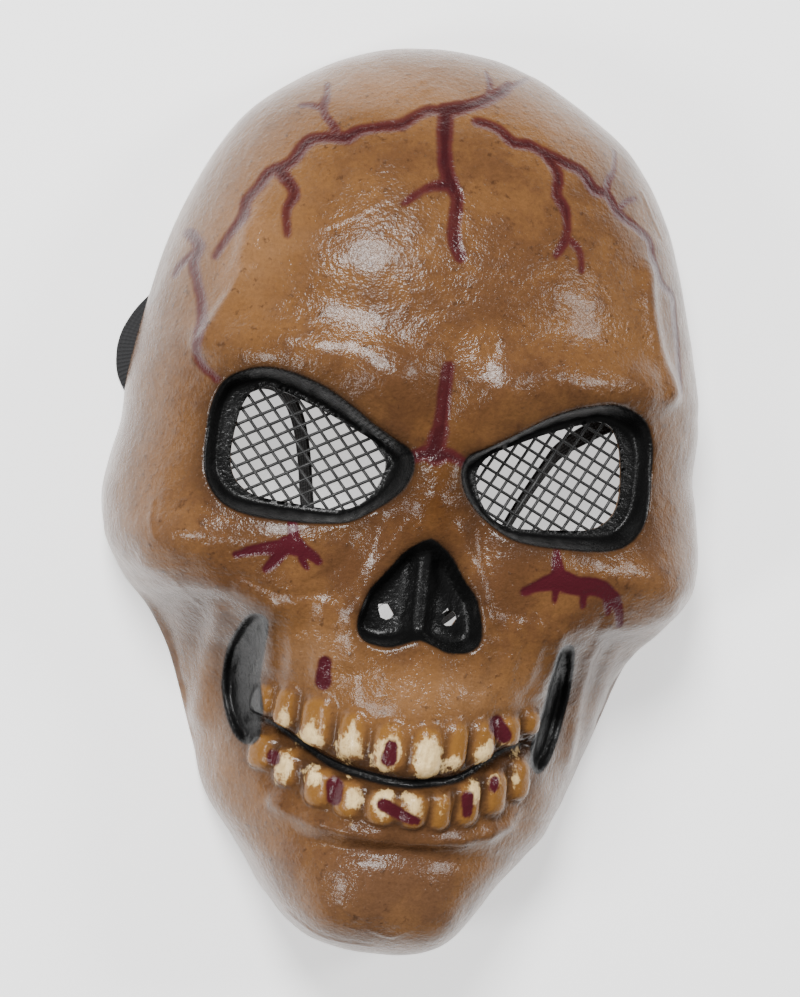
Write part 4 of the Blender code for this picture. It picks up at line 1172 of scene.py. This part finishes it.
@dataclass
class Shell:
    """The formed plastic shell: its painted face, and its back with the cut rim."""

    form: FaceForm
    columns: int = 250
    rows: int = 350
    sheet: Sheet = field(init=False)

    def __post_init__(self) -> None:
        """Work out the face's points once for both pieces."""
        self.sheet = self.form.surface(self.columns, self.rows)

    def inside_holes(self, places: np.ndarray) -> np.ndarray:
        """How far each place is inside an eye or nostril hole, above 0 in one."""
        side, up = np.abs(places[..., 0]), places[..., 1]
        return np.maximum(self.form.eye_hole.inside(side, up), self.form.nostril.inside(side, up))

    def solid_faces(self) -> list[list[int]]:
        """The grid's faces, with a corner cut off where only one lies in a hole.

        Returns:
            The faces, anticlockwise from the front.
        """
        points, step = self.sheet.points, self.rows + 1
        first = (np.arange(self.columns)[:, None] * step + np.arange(self.rows)).ravel()
        ring = np.stack([first, first + step, first + step + 1, first + 1], axis=1)
        held = (self.inside_holes(points) > 1e-5).ravel()[ring]
        middle = points.reshape(-1, 3)[ring].mean(axis=1)
        whole = ring[~held.any(axis=1) & (self.inside_holes(middle) <= 0)].tolist()
        cut = [[int(k) for k in corners[~out]] for corners, out in zip(ring, held) if out.sum() == 1]
        return whole + cut

    def build(self) -> list[bpy.types.Object]:
        """Build the face and the back.

        Returns:
            The two pieces.
        """
        face, back = self.painted_face(), self.bare_back()
        for piece in (face, back):
            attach(piece, "root")
            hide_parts("mask_shell")
        return [face, back]

    def painted_face(self) -> bpy.types.Object:
        """The outer face, with the turned edges of its holes and the paint's fields."""
        points = self.sheet.points
        faces = self.solid_faces()
        vertices = points.reshape(-1, 3)
        across, up = self.sheet.across.ravel(), self.sheet.up.ravel()
        for side in Side:
            for hole in (self.form.eye_hole, self.form.nostril):
                ring = hole.points[::2] * (side.value, 1)
                band, band_faces = self.hole_band(ring, side.value, len(vertices))
                vertices = np.vstack([vertices, band])
                across, up = np.append(across, band[:, 0]), np.append(up, band[:, 1])
                faces += band_faces
        piece = make_piece("painted_face", vertices, faces, BoneFinish().material())
        for name, values in PaintPlan(self.form).fields(across, up, vertices).items():
            add_field(piece, name, values)
        return piece

    def hole_band(self, ring: np.ndarray, sign: int, start: int) -> tuple[np.ndarray, list]:
        """The cut edge of a hole, from the face to the back of the wall.

        Args:
            ring: The hole's outline.
            sign: 1 on the +X side and -1 on the -X side.
            start: Number of its first point.

        Returns:
            Its points and faces.
        """
        x, y = ring[:, 0], ring[:, 1]
        top = self.form.pressed(x, y, self.form.plain_height(x, y) + self.form.soft_relief(x, y))
        count = len(ring)
        upper = np.column_stack([x, y, top])
        lower = np.column_stack([x, y, top - self.form.sizes.wall])
        faces = []
        for i in range(count):
            j = (i + 1) % count
            quad = [start + i, start + count + i, start + count + j, start + j]
            faces.append(quad if sign > 0 else quad[::-1])
        return np.vstack([upper, lower]), faces

    def bare_back(self) -> bpy.types.Object:
        """The inner sheet and the cut rim that joins it to the face."""
        points, edge, wall = self.sheet.points, self.sheet.edge, self.form.sizes.wall
        normal = self.form.settled(smoothed(grid_normals(points), 2), points, self.sheet.ring)
        inner = points - normal * wall
        inner[..., 2] = np.where(edge, points[..., 2], np.maximum(inner[..., 2], points[..., 2] / 8))
        faces = [corners[::-1] for corners in self.solid_faces()]
        border = border_places(self.columns, self.rows)
        vertices = np.vstack([inner.reshape(-1, 3), points.reshape(-1, 3)[border]])
        first, count = inner.shape[0] * inner.shape[1], len(border)
        for i in range(count):
            j = (i + 1) % count
            faces.append([first + j, first + i, border[i], border[j]])
        return make_piece("shell_back", vertices, faces, BackFinish().material())


@dataclass(frozen=True)
class PaintPlan:
    """Where each paint and each painted shade, sheen and reflection lies on the face, as numbers kept on its
    points.
    """

    form: FaceForm
    gap_half: float = 0.0011
    gap_least: float = 0.0003
    # Sizes of the painted shade between the teeth, in the hollows and round the black edges
    teeth_box: tuple[float, float, float] = (0.043, -0.099, -0.058)
    teeth_reach: float = 0.016
    sunk_depth: float = 0.0035
    edge_darks: Points = ((0.70, 0.0045), (0.60, 0.0030), (0.70, 0.0045))
    # Where the painted reflection lies at the sides and under the chin: amount, start and run
    side_reflection: tuple[float, float, float] = (0.35, 0.055, 0.034)
    chin_reflection: tuple[float, float, float] = (0.20, 0.088, 0.030)
    bridge: tuple[float, float, float, float] = (0.9, 0.004, 0.0105, 0.020)
    most: float = 0.85

    def fields(self, plain_x: np.ndarray, plain_y: np.ndarray, points: np.ndarray) -> dict[str, np.ndarray]:
        """The paint's fields.

        Args:
            plain_x: Places across before the relief.
            plain_y: Places up before the relief.
            points: The finished points.

        Returns:
            Values by name, distances in metres and shares from 0 to 1.
        """
        form, x, y = self.form, points[:, 0], points[:, 1]
        side = np.abs(x)
        edges = [form.socket.inside(side, y), form.nose.inside(x, y), form.slit.inside(side, y)]
        mouth = form.mouth.feet(plain_x, plain_y)
        bow = np.sin(np.pi * np.clip(mouth.along, 0.02, 0.98))
        gap = self.gap_half * bow + self.gap_least - mouth.away
        # Besides the paints, the fields hold painted shade in hollows, a painted reflection at the sides and
        # painted shade and sheen over the stain
        return {"dark": np.maximum.reduce([*edges, gap]), "tooth": form.tooth_relief(plain_x, plain_y),
                "hollow_shade": self.hollows(plain_x, plain_y, edges), "painted_reflection": self.painted_reflection(side, y),
                "shade": self.shade(x, y), "amber": self.amber(side, y), "cream": patch_field(x, y, CREAM),
                "crack": StrokeField(CRACKS).signed(x, y), "blood": StrokeField(BLOOD).signed(x, y)}

    def hollows(self, x: np.ndarray, y: np.ndarray, edges: Sequence[np.ndarray]) -> np.ndarray:
        """Painted shade between the teeth, in hollows and round the black edges; round the eyes it also gives
        the stain's own darker airbrushing.

        Args:
            x: Places across before the relief.
            y: Places up before the relief.
            edges: How far each place is inside the socket, the nose opening and the slit.

        Returns:
            Shares of painted shade.
        """
        half, low, high = self.teeth_box
        bare = eased(1 - 2 * self.form.tooth_relief(x, y))
        near = eased(1.2 - self.form.mouth.feet(x, y).away / self.teeth_reach)
        between = np.where((y < high) & (y > low) & (np.abs(x) < half), 0.80 * bare * near, 0)
        sunk = eased(-self.form.soft_relief(x, y) / self.sunk_depth) * 0.40
        rings = [share * np.exp(-np.maximum(-edge, 0) / reach)
                 for edge, (share, reach) in zip(edges, self.edge_darks)]
        return np.clip(np.maximum.reduce([between, sunk, *rings]), 0, self.most)

    def painted_reflection(self, side: np.ndarray, y: np.ndarray) -> np.ndarray:
        """Painted reflection: a paler, hazier colour at the sides and under the chin."""
        (much, start, run), (chin_much, chin_start, chin_run) = self.side_reflection, self.chin_reflection
        sides, chin = eased((side - start) / run), eased((-y - chin_start) / chin_run)
        return np.clip(much * sides + chin_much * chin, 0, self.most)

    def amber(self, side: np.ndarray, y: np.ndarray) -> np.ndarray:
        """Dark amber stain on the bridge of the nose."""
        much, up, half, tall = self.bridge
        return much * np.exp(-((side / half) ** 2) - ((y - up) / tall) ** 2)

    def shade(self, x: np.ndarray, y: np.ndarray) -> np.ndarray:
        """Painted shade and painted sheen over the stain's own darker and lighter parts, from the table."""
        total = np.zeros(x.shape)
        for across, up, wide, tall, amount in SHADES:
            away = ((x / MILLIMETRE - across) / wide) ** 2 + ((y / MILLIMETRE - up) / tall) ** 2
            total += amount * np.exp(-away)
        return total


@dataclass
class EyeNet:
    """A flat net of crossed strands behind one eye hole."""

    form: FaceForm
    side: Side
    pitches: tuple[float, float] = (0.00366, 0.00366)
    strand: float = 0.00088
    wave: float = 0.00016
    step: float = 0.0012

    @property
    def directions(self) -> tuple[float, float]:
        """Headings of the two sets of strands, in degrees."""
        return (-24.6, 61.6) if self.side is Side.LEFT else (28.8, -49.6)

    def build(self) -> bpy.types.Object:
        """Lay the strands out as lines and sweep them.

        Returns:
            The net.
        """
        name = f"net_{self.side.word}"
        guide = self.guide_lines(name)
        swept = StrandSweep(self.strand / 2, NetFinish().material(self.side)).swept(guide, name)
        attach(swept, "root")
        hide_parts(f"eye_net_{self.side.word}")
        return swept

    def guide_lines(self, name: str) -> bpy.types.Object:
        """The strands' middle lines, cut off at the net's margin.

        Args:
            name: What the net is called.

        Returns:
            A mesh of loose edges.
        """
        sizes = self.form.sizes
        edge = self.form.eye_hole.mirrored(self.side.value).grown(sizes.net_margin - self.strand / 2)
        centre = edge.points.mean(axis=0)
        slope = math.sqrt(1 + sizes.socket_lean_out**2 + sizes.socket_lean_up**2)
        drop = (sizes.wall + sizes.fit_gap + sizes.net_thickness / 2) * slope
        vertices, edges = [], []
        for layer, (heading, pitch) in enumerate(zip(self.directions, self.pitches)):
            along = np.array((math.cos(math.radians(heading)), math.sin(math.radians(heading))))
            across = np.array((-along[1], along[0]))
            for row in range(-12, 13):
                t = np.arange(-0.04, 0.04, self.step)
                places = centre + across * row * pitch + t[:, None] * along
                held = edge.inside(places[:, 0], places[:, 1]) > 0
                phase = math.pi * (row + layer)
                sway = self.wave * np.sin(t * math.pi / self.pitches[1 - layer] + phase)
                z = self.form.socket_floor(places[:, 0], places[:, 1]) - drop + sway
                for i in range(len(t) - 1):
                    if held[i] and held[i + 1]:
                        edges.append((len(vertices), len(vertices) + 1))
                        vertices += [(*places[i], z[i]), (*places[i + 1], z[i + 1])]
        rim = np.vstack([edge.points, edge.points[:1]])
        heights = self.form.socket_floor(rim[:, 0], rim[:, 1]) - drop
        start = len(vertices)
        vertices += [(x, y, z) for (x, y), z in zip(rim[:-1], heights)]
        count = len(rim) - 1
        edges += [(start + i, start + (i + 1) % count) for i in range(count)]
        mesh = bpy.data.meshes.new(f"{name}_guide")
        mesh.from_pydata([tuple(map(float, v)) for v in vertices], edges, [])
        guide = bpy.data.objects.new(f"{name}_guide", mesh)
        bpy.context.scene.collection.objects.link(guide)
        merge_points(mesh)
        return guide


def merge_points(mesh: bpy.types.Mesh) -> None:
    """Join points that lie on each other, so that loose edges run on as lines."""
    work = bmesh.new()
    work.from_mesh(mesh)
    bmesh.ops.remove_doubles(work, verts=work.verts, dist=1e-6)
    work.to_mesh(mesh)
    work.free()


@dataclass(frozen=True)
class StrandSweep:
    """A node set that sweeps a round strand along loose edges."""

    radius: float
    material: bpy.types.Material
    sides: int = 8

    def node_group(self) -> bpy.types.NodeTree:
        """The node set, with the strand's radius as its input.

        Returns:
            The node group.
        """
        group = bpy.data.node_groups.new("strand_sweep", "GeometryNodeTree")
        face = group.interface
        face.new_socket("Geometry", in_out="INPUT", socket_type="NodeSocketGeometry")
        face.new_socket("Radius", in_out="INPUT", socket_type="NodeSocketFloat")
        face.new_socket("Geometry", in_out="OUTPUT", socket_type="NodeSocketGeometry")
        nodes, links = group.nodes, group.links
        start, end = nodes.new("NodeGroupInput"), nodes.new("NodeGroupOutput")
        curve, circle = nodes.new("GeometryNodeMeshToCurve"), nodes.new("GeometryNodeCurvePrimitiveCircle")
        sweep, smooth = nodes.new("GeometryNodeCurveToMesh"), nodes.new("GeometryNodeSetShadeSmooth")
        real, coat = nodes.new("GeometryNodeRealizeInstances"), nodes.new("GeometryNodeSetMaterial")
        circle.inputs["Resolution"].default_value = self.sides
        coat.inputs["Material"].default_value = self.material
        sweep.inputs["Fill Caps"].default_value = True
        links.new(start.outputs["Geometry"], curve.inputs["Mesh"])
        links.new(start.outputs["Radius"], circle.inputs["Radius"])
        links.new(curve.outputs["Curve"], sweep.inputs["Curve"])
        links.new(circle.outputs["Curve"], sweep.inputs["Profile Curve"])
        links.new(sweep.outputs["Mesh"], smooth.inputs["Geometry"])
        links.new(smooth.outputs["Geometry"], real.inputs["Geometry"])
        links.new(real.outputs["Geometry"], coat.inputs["Geometry"])
        links.new(coat.outputs["Geometry"], end.inputs["Geometry"])
        return group

    def swept(self, guide: bpy.types.Object, name: str) -> bpy.types.Object:
        """Sweep the guide's edges and keep the result as a plain mesh.

        Args:
            guide: An object of loose edges, which is removed.
            name: The new object's name.

        Returns:
            The swept object.
        """
        group = self.node_group()
        modifier = guide.modifiers.new("strands", "NODES")
        modifier.node_group = group
        radius = next(s for s in group.interface.items_tree if s.name == "Radius")
        modifier[radius.identifier] = self.radius
        shown = guide.evaluated_get(bpy.context.evaluated_depsgraph_get())
        mesh = bpy.data.meshes.new_from_object(shown)
        mesh.name = name
        piece = bpy.data.objects.new(name, mesh)
        bpy.context.scene.collection.objects.link(piece)
        bpy.data.objects.remove(guide, do_unlink=True)
        return piece


# Elastic from the -X temple to the +X one: across, as a share of the half width less half the strap, up,
# lift above the surface as a share of the strap's width, heading in degrees from +X, and lean in degrees
STRAP_ROUTE = (
    (-0.878, 0.199, 1.35, 180.0, 0.0), (-0.890, 0.195, 0.60, 186.0, 2.0),
    (-0.918, 0.184, 0.08, 212.0, 6.0), (-0.958, 0.167, 0.00, 236.0, 8.0),
    (-0.990, 0.146, 0.00, 252.0, 10.0), (-1.000, 0.124, 0.00, 270.0, 10.0),
    (-0.985, 0.100, 0.00, 292.0, 10.0), (-0.925, 0.078, 0.00, 328.0, 18.0),
    (-0.815, 0.074, 0.00, 368.0, 34.0), (-0.680, 0.090, 0.00, 384.0, 50.0),
    (-0.560, 0.106, 0.00, 372.0, 58.0), (-0.470, 0.106, 0.00, 325.0, 60.0),
    (-0.415, 0.089, 0.00, 298.0, 60.0), (-0.377, 0.063, 0.00, 288.0, 60.0),
    (-0.348, 0.025, 0.00, 282.0, 60.0), (-0.320, -0.026, 0.00, 284.0, 60.0),
    (-0.275, -0.070, 0.00, 294.0, 62.0), (-0.180, -0.114, 0.00, 312.0, 64.0),
    (-0.022, -0.145, 0.00, 345.0, 66.0), (0.140, -0.144, 0.00, 378.0, 64.0),
    (0.258, -0.113, 0.00, 405.0, 62.0), (0.335, -0.062, 0.00, 422.0, 60.0),
    (0.398, -0.012, 0.00, 423.0, 58.0), (0.500, 0.048, 0.00, 417.0, 52.0),
    (0.556, 0.072, 0.00, 405.0, 40.0), (0.680, 0.100, 0.00, 388.0, 20.0),
    (0.800, 0.122, 0.00, 392.0, 8.0), (0.865, 0.155, 0.04, 404.0, 4.0),
    (0.888, 0.184, 0.30, 385.0, 3.0), (0.890, 0.196, 0.75, 366.0, 1.0),
    (0.878, 0.199, 1.35, 360.0, 0.0),
)


@dataclass
class ElasticStrap:
    """A flat woven elastic from temple to temple, with ribs along it."""

    form: FaceForm
    ribs: int = 5
    rib_rise: float = 0.00014
    steps: int = 12
    end_length: float = 0.012
    end_stand_off: float = 1.8
    anchor_up: float = 0.200
    anchor_height: float = 0.014

    def inner_wall(self, side: int, up: float, height: float) -> float:
        """Where the back of the side wall lies.

        Args:
            side: 1 on the +X side and -1 on the -X side.
            up: Place up the face.
            height: Height above the rim.

        Returns:
            Its place across.
        """
        form = self.form
        middle, half = (np.interp(up, form.up, k) for k in (form.middle, form.half))
        x = side * middle + np.linspace(0.70, 0.9999, 240) * half
        y = np.full_like(x, up)
        z = form.rim_raise(y, form.plain_height(side * x, y))
        fall = np.gradient(z, x)
        inward = (form.soft_relief(x, y) - form.sizes.wall) / np.sqrt(1 + fall**2)
        wall_x, wall_z = x - inward * fall, z + inward
        order = np.argsort(wall_z)
        return side * float(np.interp(height, wall_z[order], wall_x[order]))

    def route(self) -> tuple[np.ndarray, np.ndarray]:
        """The strap's middle line and the directions of its width.

        Returns:
            Places and directions, one row each.
        """
        sizes = self.form.sizes
        up, width = self.anchor_up * sizes.height, sizes.strap_width
        clear = self.end_stand_off * (sizes.fit_gap + sizes.strap_thickness / 2)
        heights = [self.anchor_height + self.end_length * k / 3 for k in (3, 2, 1, 0)]

        def end(side: int) -> list[tuple[float, float, float]]:
            """Places of one end, down the inside of the wall."""
            across = (-width / 2, 0, width / 2)
            walls = [min(side * self.inner_wall(side, up + k, h) for k in across) for h in heights]
            return [(side * (wall - clear), up, h) for wall, h in zip(walls, heights)]

        rows = [(place, (0.0, -1.0, 0.0)) for place in end(-1)]
        for across, upward, lift, heading, lean in STRAP_ROUTE:
            turn, tilt = math.radians(heading), math.radians(lean)
            wide = (-math.sin(turn) * math.cos(tilt), math.cos(turn) * math.cos(tilt), math.sin(tilt))
            resting = sizes.fit_gap + (width * math.sin(tilt) + sizes.strap_thickness * math.cos(tilt)) / 2
            place = (across * (sizes.half_width - width / 2), upward * sizes.height, resting + lift * width)
            rows.append((place, wide))
        rows += [(place, (0.0, 1.0, 0.0)) for place in reversed(end(1))]
        places, wides = ([row[k] for row in rows] for k in (0, 1))
        return through(places, False, self.steps), through(wides, False, self.steps)

    def section(self) -> np.ndarray:
        """The ribbed section: width shares and thickness shares, once round."""
        count = self.ribs * 4
        wide = np.linspace(-1, 1, count + 1)
        rib = 0.5 - 0.5 * np.cos(math.tau * self.ribs * (wide + 1) / 2)
        half = 1 - 2 * self.rib_rise / self.form.sizes.strap_thickness * (1 - rib)
        top = np.column_stack([wide, half])
        return np.vstack([top, (top * (1, -1))[::-1]])

    def build(self) -> bpy.types.Object:
        """Sweep the ribbed section along the route.

        Returns:
            The strap.
        """
        sizes = self.form.sizes
        places, wides = self.route()
        ahead = np.gradient(places, axis=0)
        ahead /= np.linalg.norm(ahead, axis=1, keepdims=True)
        wides = wides - ahead * np.sum(wides * ahead, axis=1, keepdims=True)
        wides /= np.linalg.norm(wides, axis=1, keepdims=True)
        thick = np.cross(ahead, wides)
        section = self.section() * (sizes.strap_width / 2, sizes.strap_thickness / 2)
        rings = places[:, None] + wides[:, None] * section[:, :1] + thick[:, None] * section[:, 1:]
        count, total = len(section), len(places)
        faces = [list(range(count)), [(total - 1) * count + k for k in reversed(range(count))]]
        for i in range(total - 1):
            for k in range(count):
                m = (k + 1) % count
                faces.append([i * count + m, i * count + k, (i + 1) * count + k, (i + 1) * count + m])
        strap = make_piece("woven_elastic", rings.reshape(-1, 3), faces, ElasticFinish().material())
        run = np.concatenate([[0], np.cumsum(np.linalg.norm(np.diff(places, axis=0), axis=1))])
        add_field(strap, "along", np.repeat(run, count))
        add_field(strap, "across", np.tile(section[:, 0] / sizes.strap_width, total))
        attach(strap, "root")
        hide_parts("elastic_strap")
        LOG.info("the strap is %.3f m long", run[-1])
        return strap


@dataclass
class Studio:
    """The pale floor, the soft lights and the camera at the photo's angle."""

    yaw: float = math.radians(8.5)
    roll: float = math.radians(6.0)
    distance: float = 1.0
    aim: tuple[float, float, float] = (0.0, -0.0014, 0.05)
    pixel: float = 0.00029
    shift: tuple[float, float] = (-0.0231, 0.0035)
    floor_size: float = 6.0

    def build(self) -> None:
        """Make the floor, the lights and the camera."""
        self.floor()
        self.lights()
        self.camera()

    def floor(self) -> None:
        """A wide pale floor at the height of the rim."""
        half = self.floor_size / 2
        corners = np.array([(-half, -half, 0), (half, -half, 0), (half, half, 0), (-half, half, 0)])
        make_piece("floor", corners, [(0, 1, 2, 3)], FloorFinish().material())

    def lights(self) -> None:
        """White surroundings and three large soft lights."""
        world = bpy.data.worlds.new("white_surroundings")
        world.use_nodes = True
        back = world.node_tree.nodes["Background"]
        back.inputs["Color"].default_value = (1.0, 1.0, 1.0, 1.0)
        back.inputs["Strength"].default_value = 0.28
        bpy.context.scene.world = world
        for name, place, size, watts in (("key", (-0.30, 0.62, 1.10), 0.40, 26.0),
                                         ("fill", (0.80, 0.30, 0.80), 0.30, 7.0),
                                         ("low", (-0.75, -0.35, 0.80), 0.30, 8.0)):
            data = bpy.data.lights.new(name, "AREA")
            data.shape, data.size, data.energy = "DISK", size, watts
            light = bpy.data.objects.new(name, data)
            light.location = place
            light.rotation_euler = (Vector((0, 0, 0.03)) - Vector(place)).to_track_quat("-Z", "Y").to_euler()
            bpy.context.scene.collection.objects.link(light)

    def camera(self) -> None:
        """The camera, turned and rolled as in the photo."""
        ahead = Vector((math.sin(self.yaw), 0, -math.cos(self.yaw)))
        level, up = Vector((math.cos(self.yaw), 0, math.sin(self.yaw))), Vector((0, 1, 0))
        right = math.cos(self.roll) * level + math.sin(self.roll) * up
        upward = -math.sin(self.roll) * level + math.cos(self.roll) * up
        where = Vector(self.aim) - ahead * self.distance
        data = bpy.data.cameras.new("camera")
        data.sensor_width = 36
        data.lens = self.distance / self.pixel / 997 * 36
        data.shift_x, data.shift_y = self.shift
        camera = bpy.data.objects.new("camera", data)
        turn = Matrix((right, upward, -ahead)).transposed().to_4x4()
        camera.matrix_world = Matrix.Translation(where) @ turn
        bpy.context.scene.collection.objects.link(camera)
        bpy.context.scene.camera = camera


def main() -> None:
    """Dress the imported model, piece by piece."""
    logging.basicConfig(level=logging.INFO, format="%(name)s: %(message)s")
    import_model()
    form = FaceForm(MaskSizes())
    Studio().build()
    pieces = Shell(form).build()
    pieces += [EyeNet(form, side).build() for side in Side]
    pieces.append(ElasticStrap(form).build())
    for piece in pieces:
        LOG.info("%s: %d points, %d faces", piece.name, len(piece.data.vertices), len(piece.data.polygons))


if __name__ == "__main__":
    main()
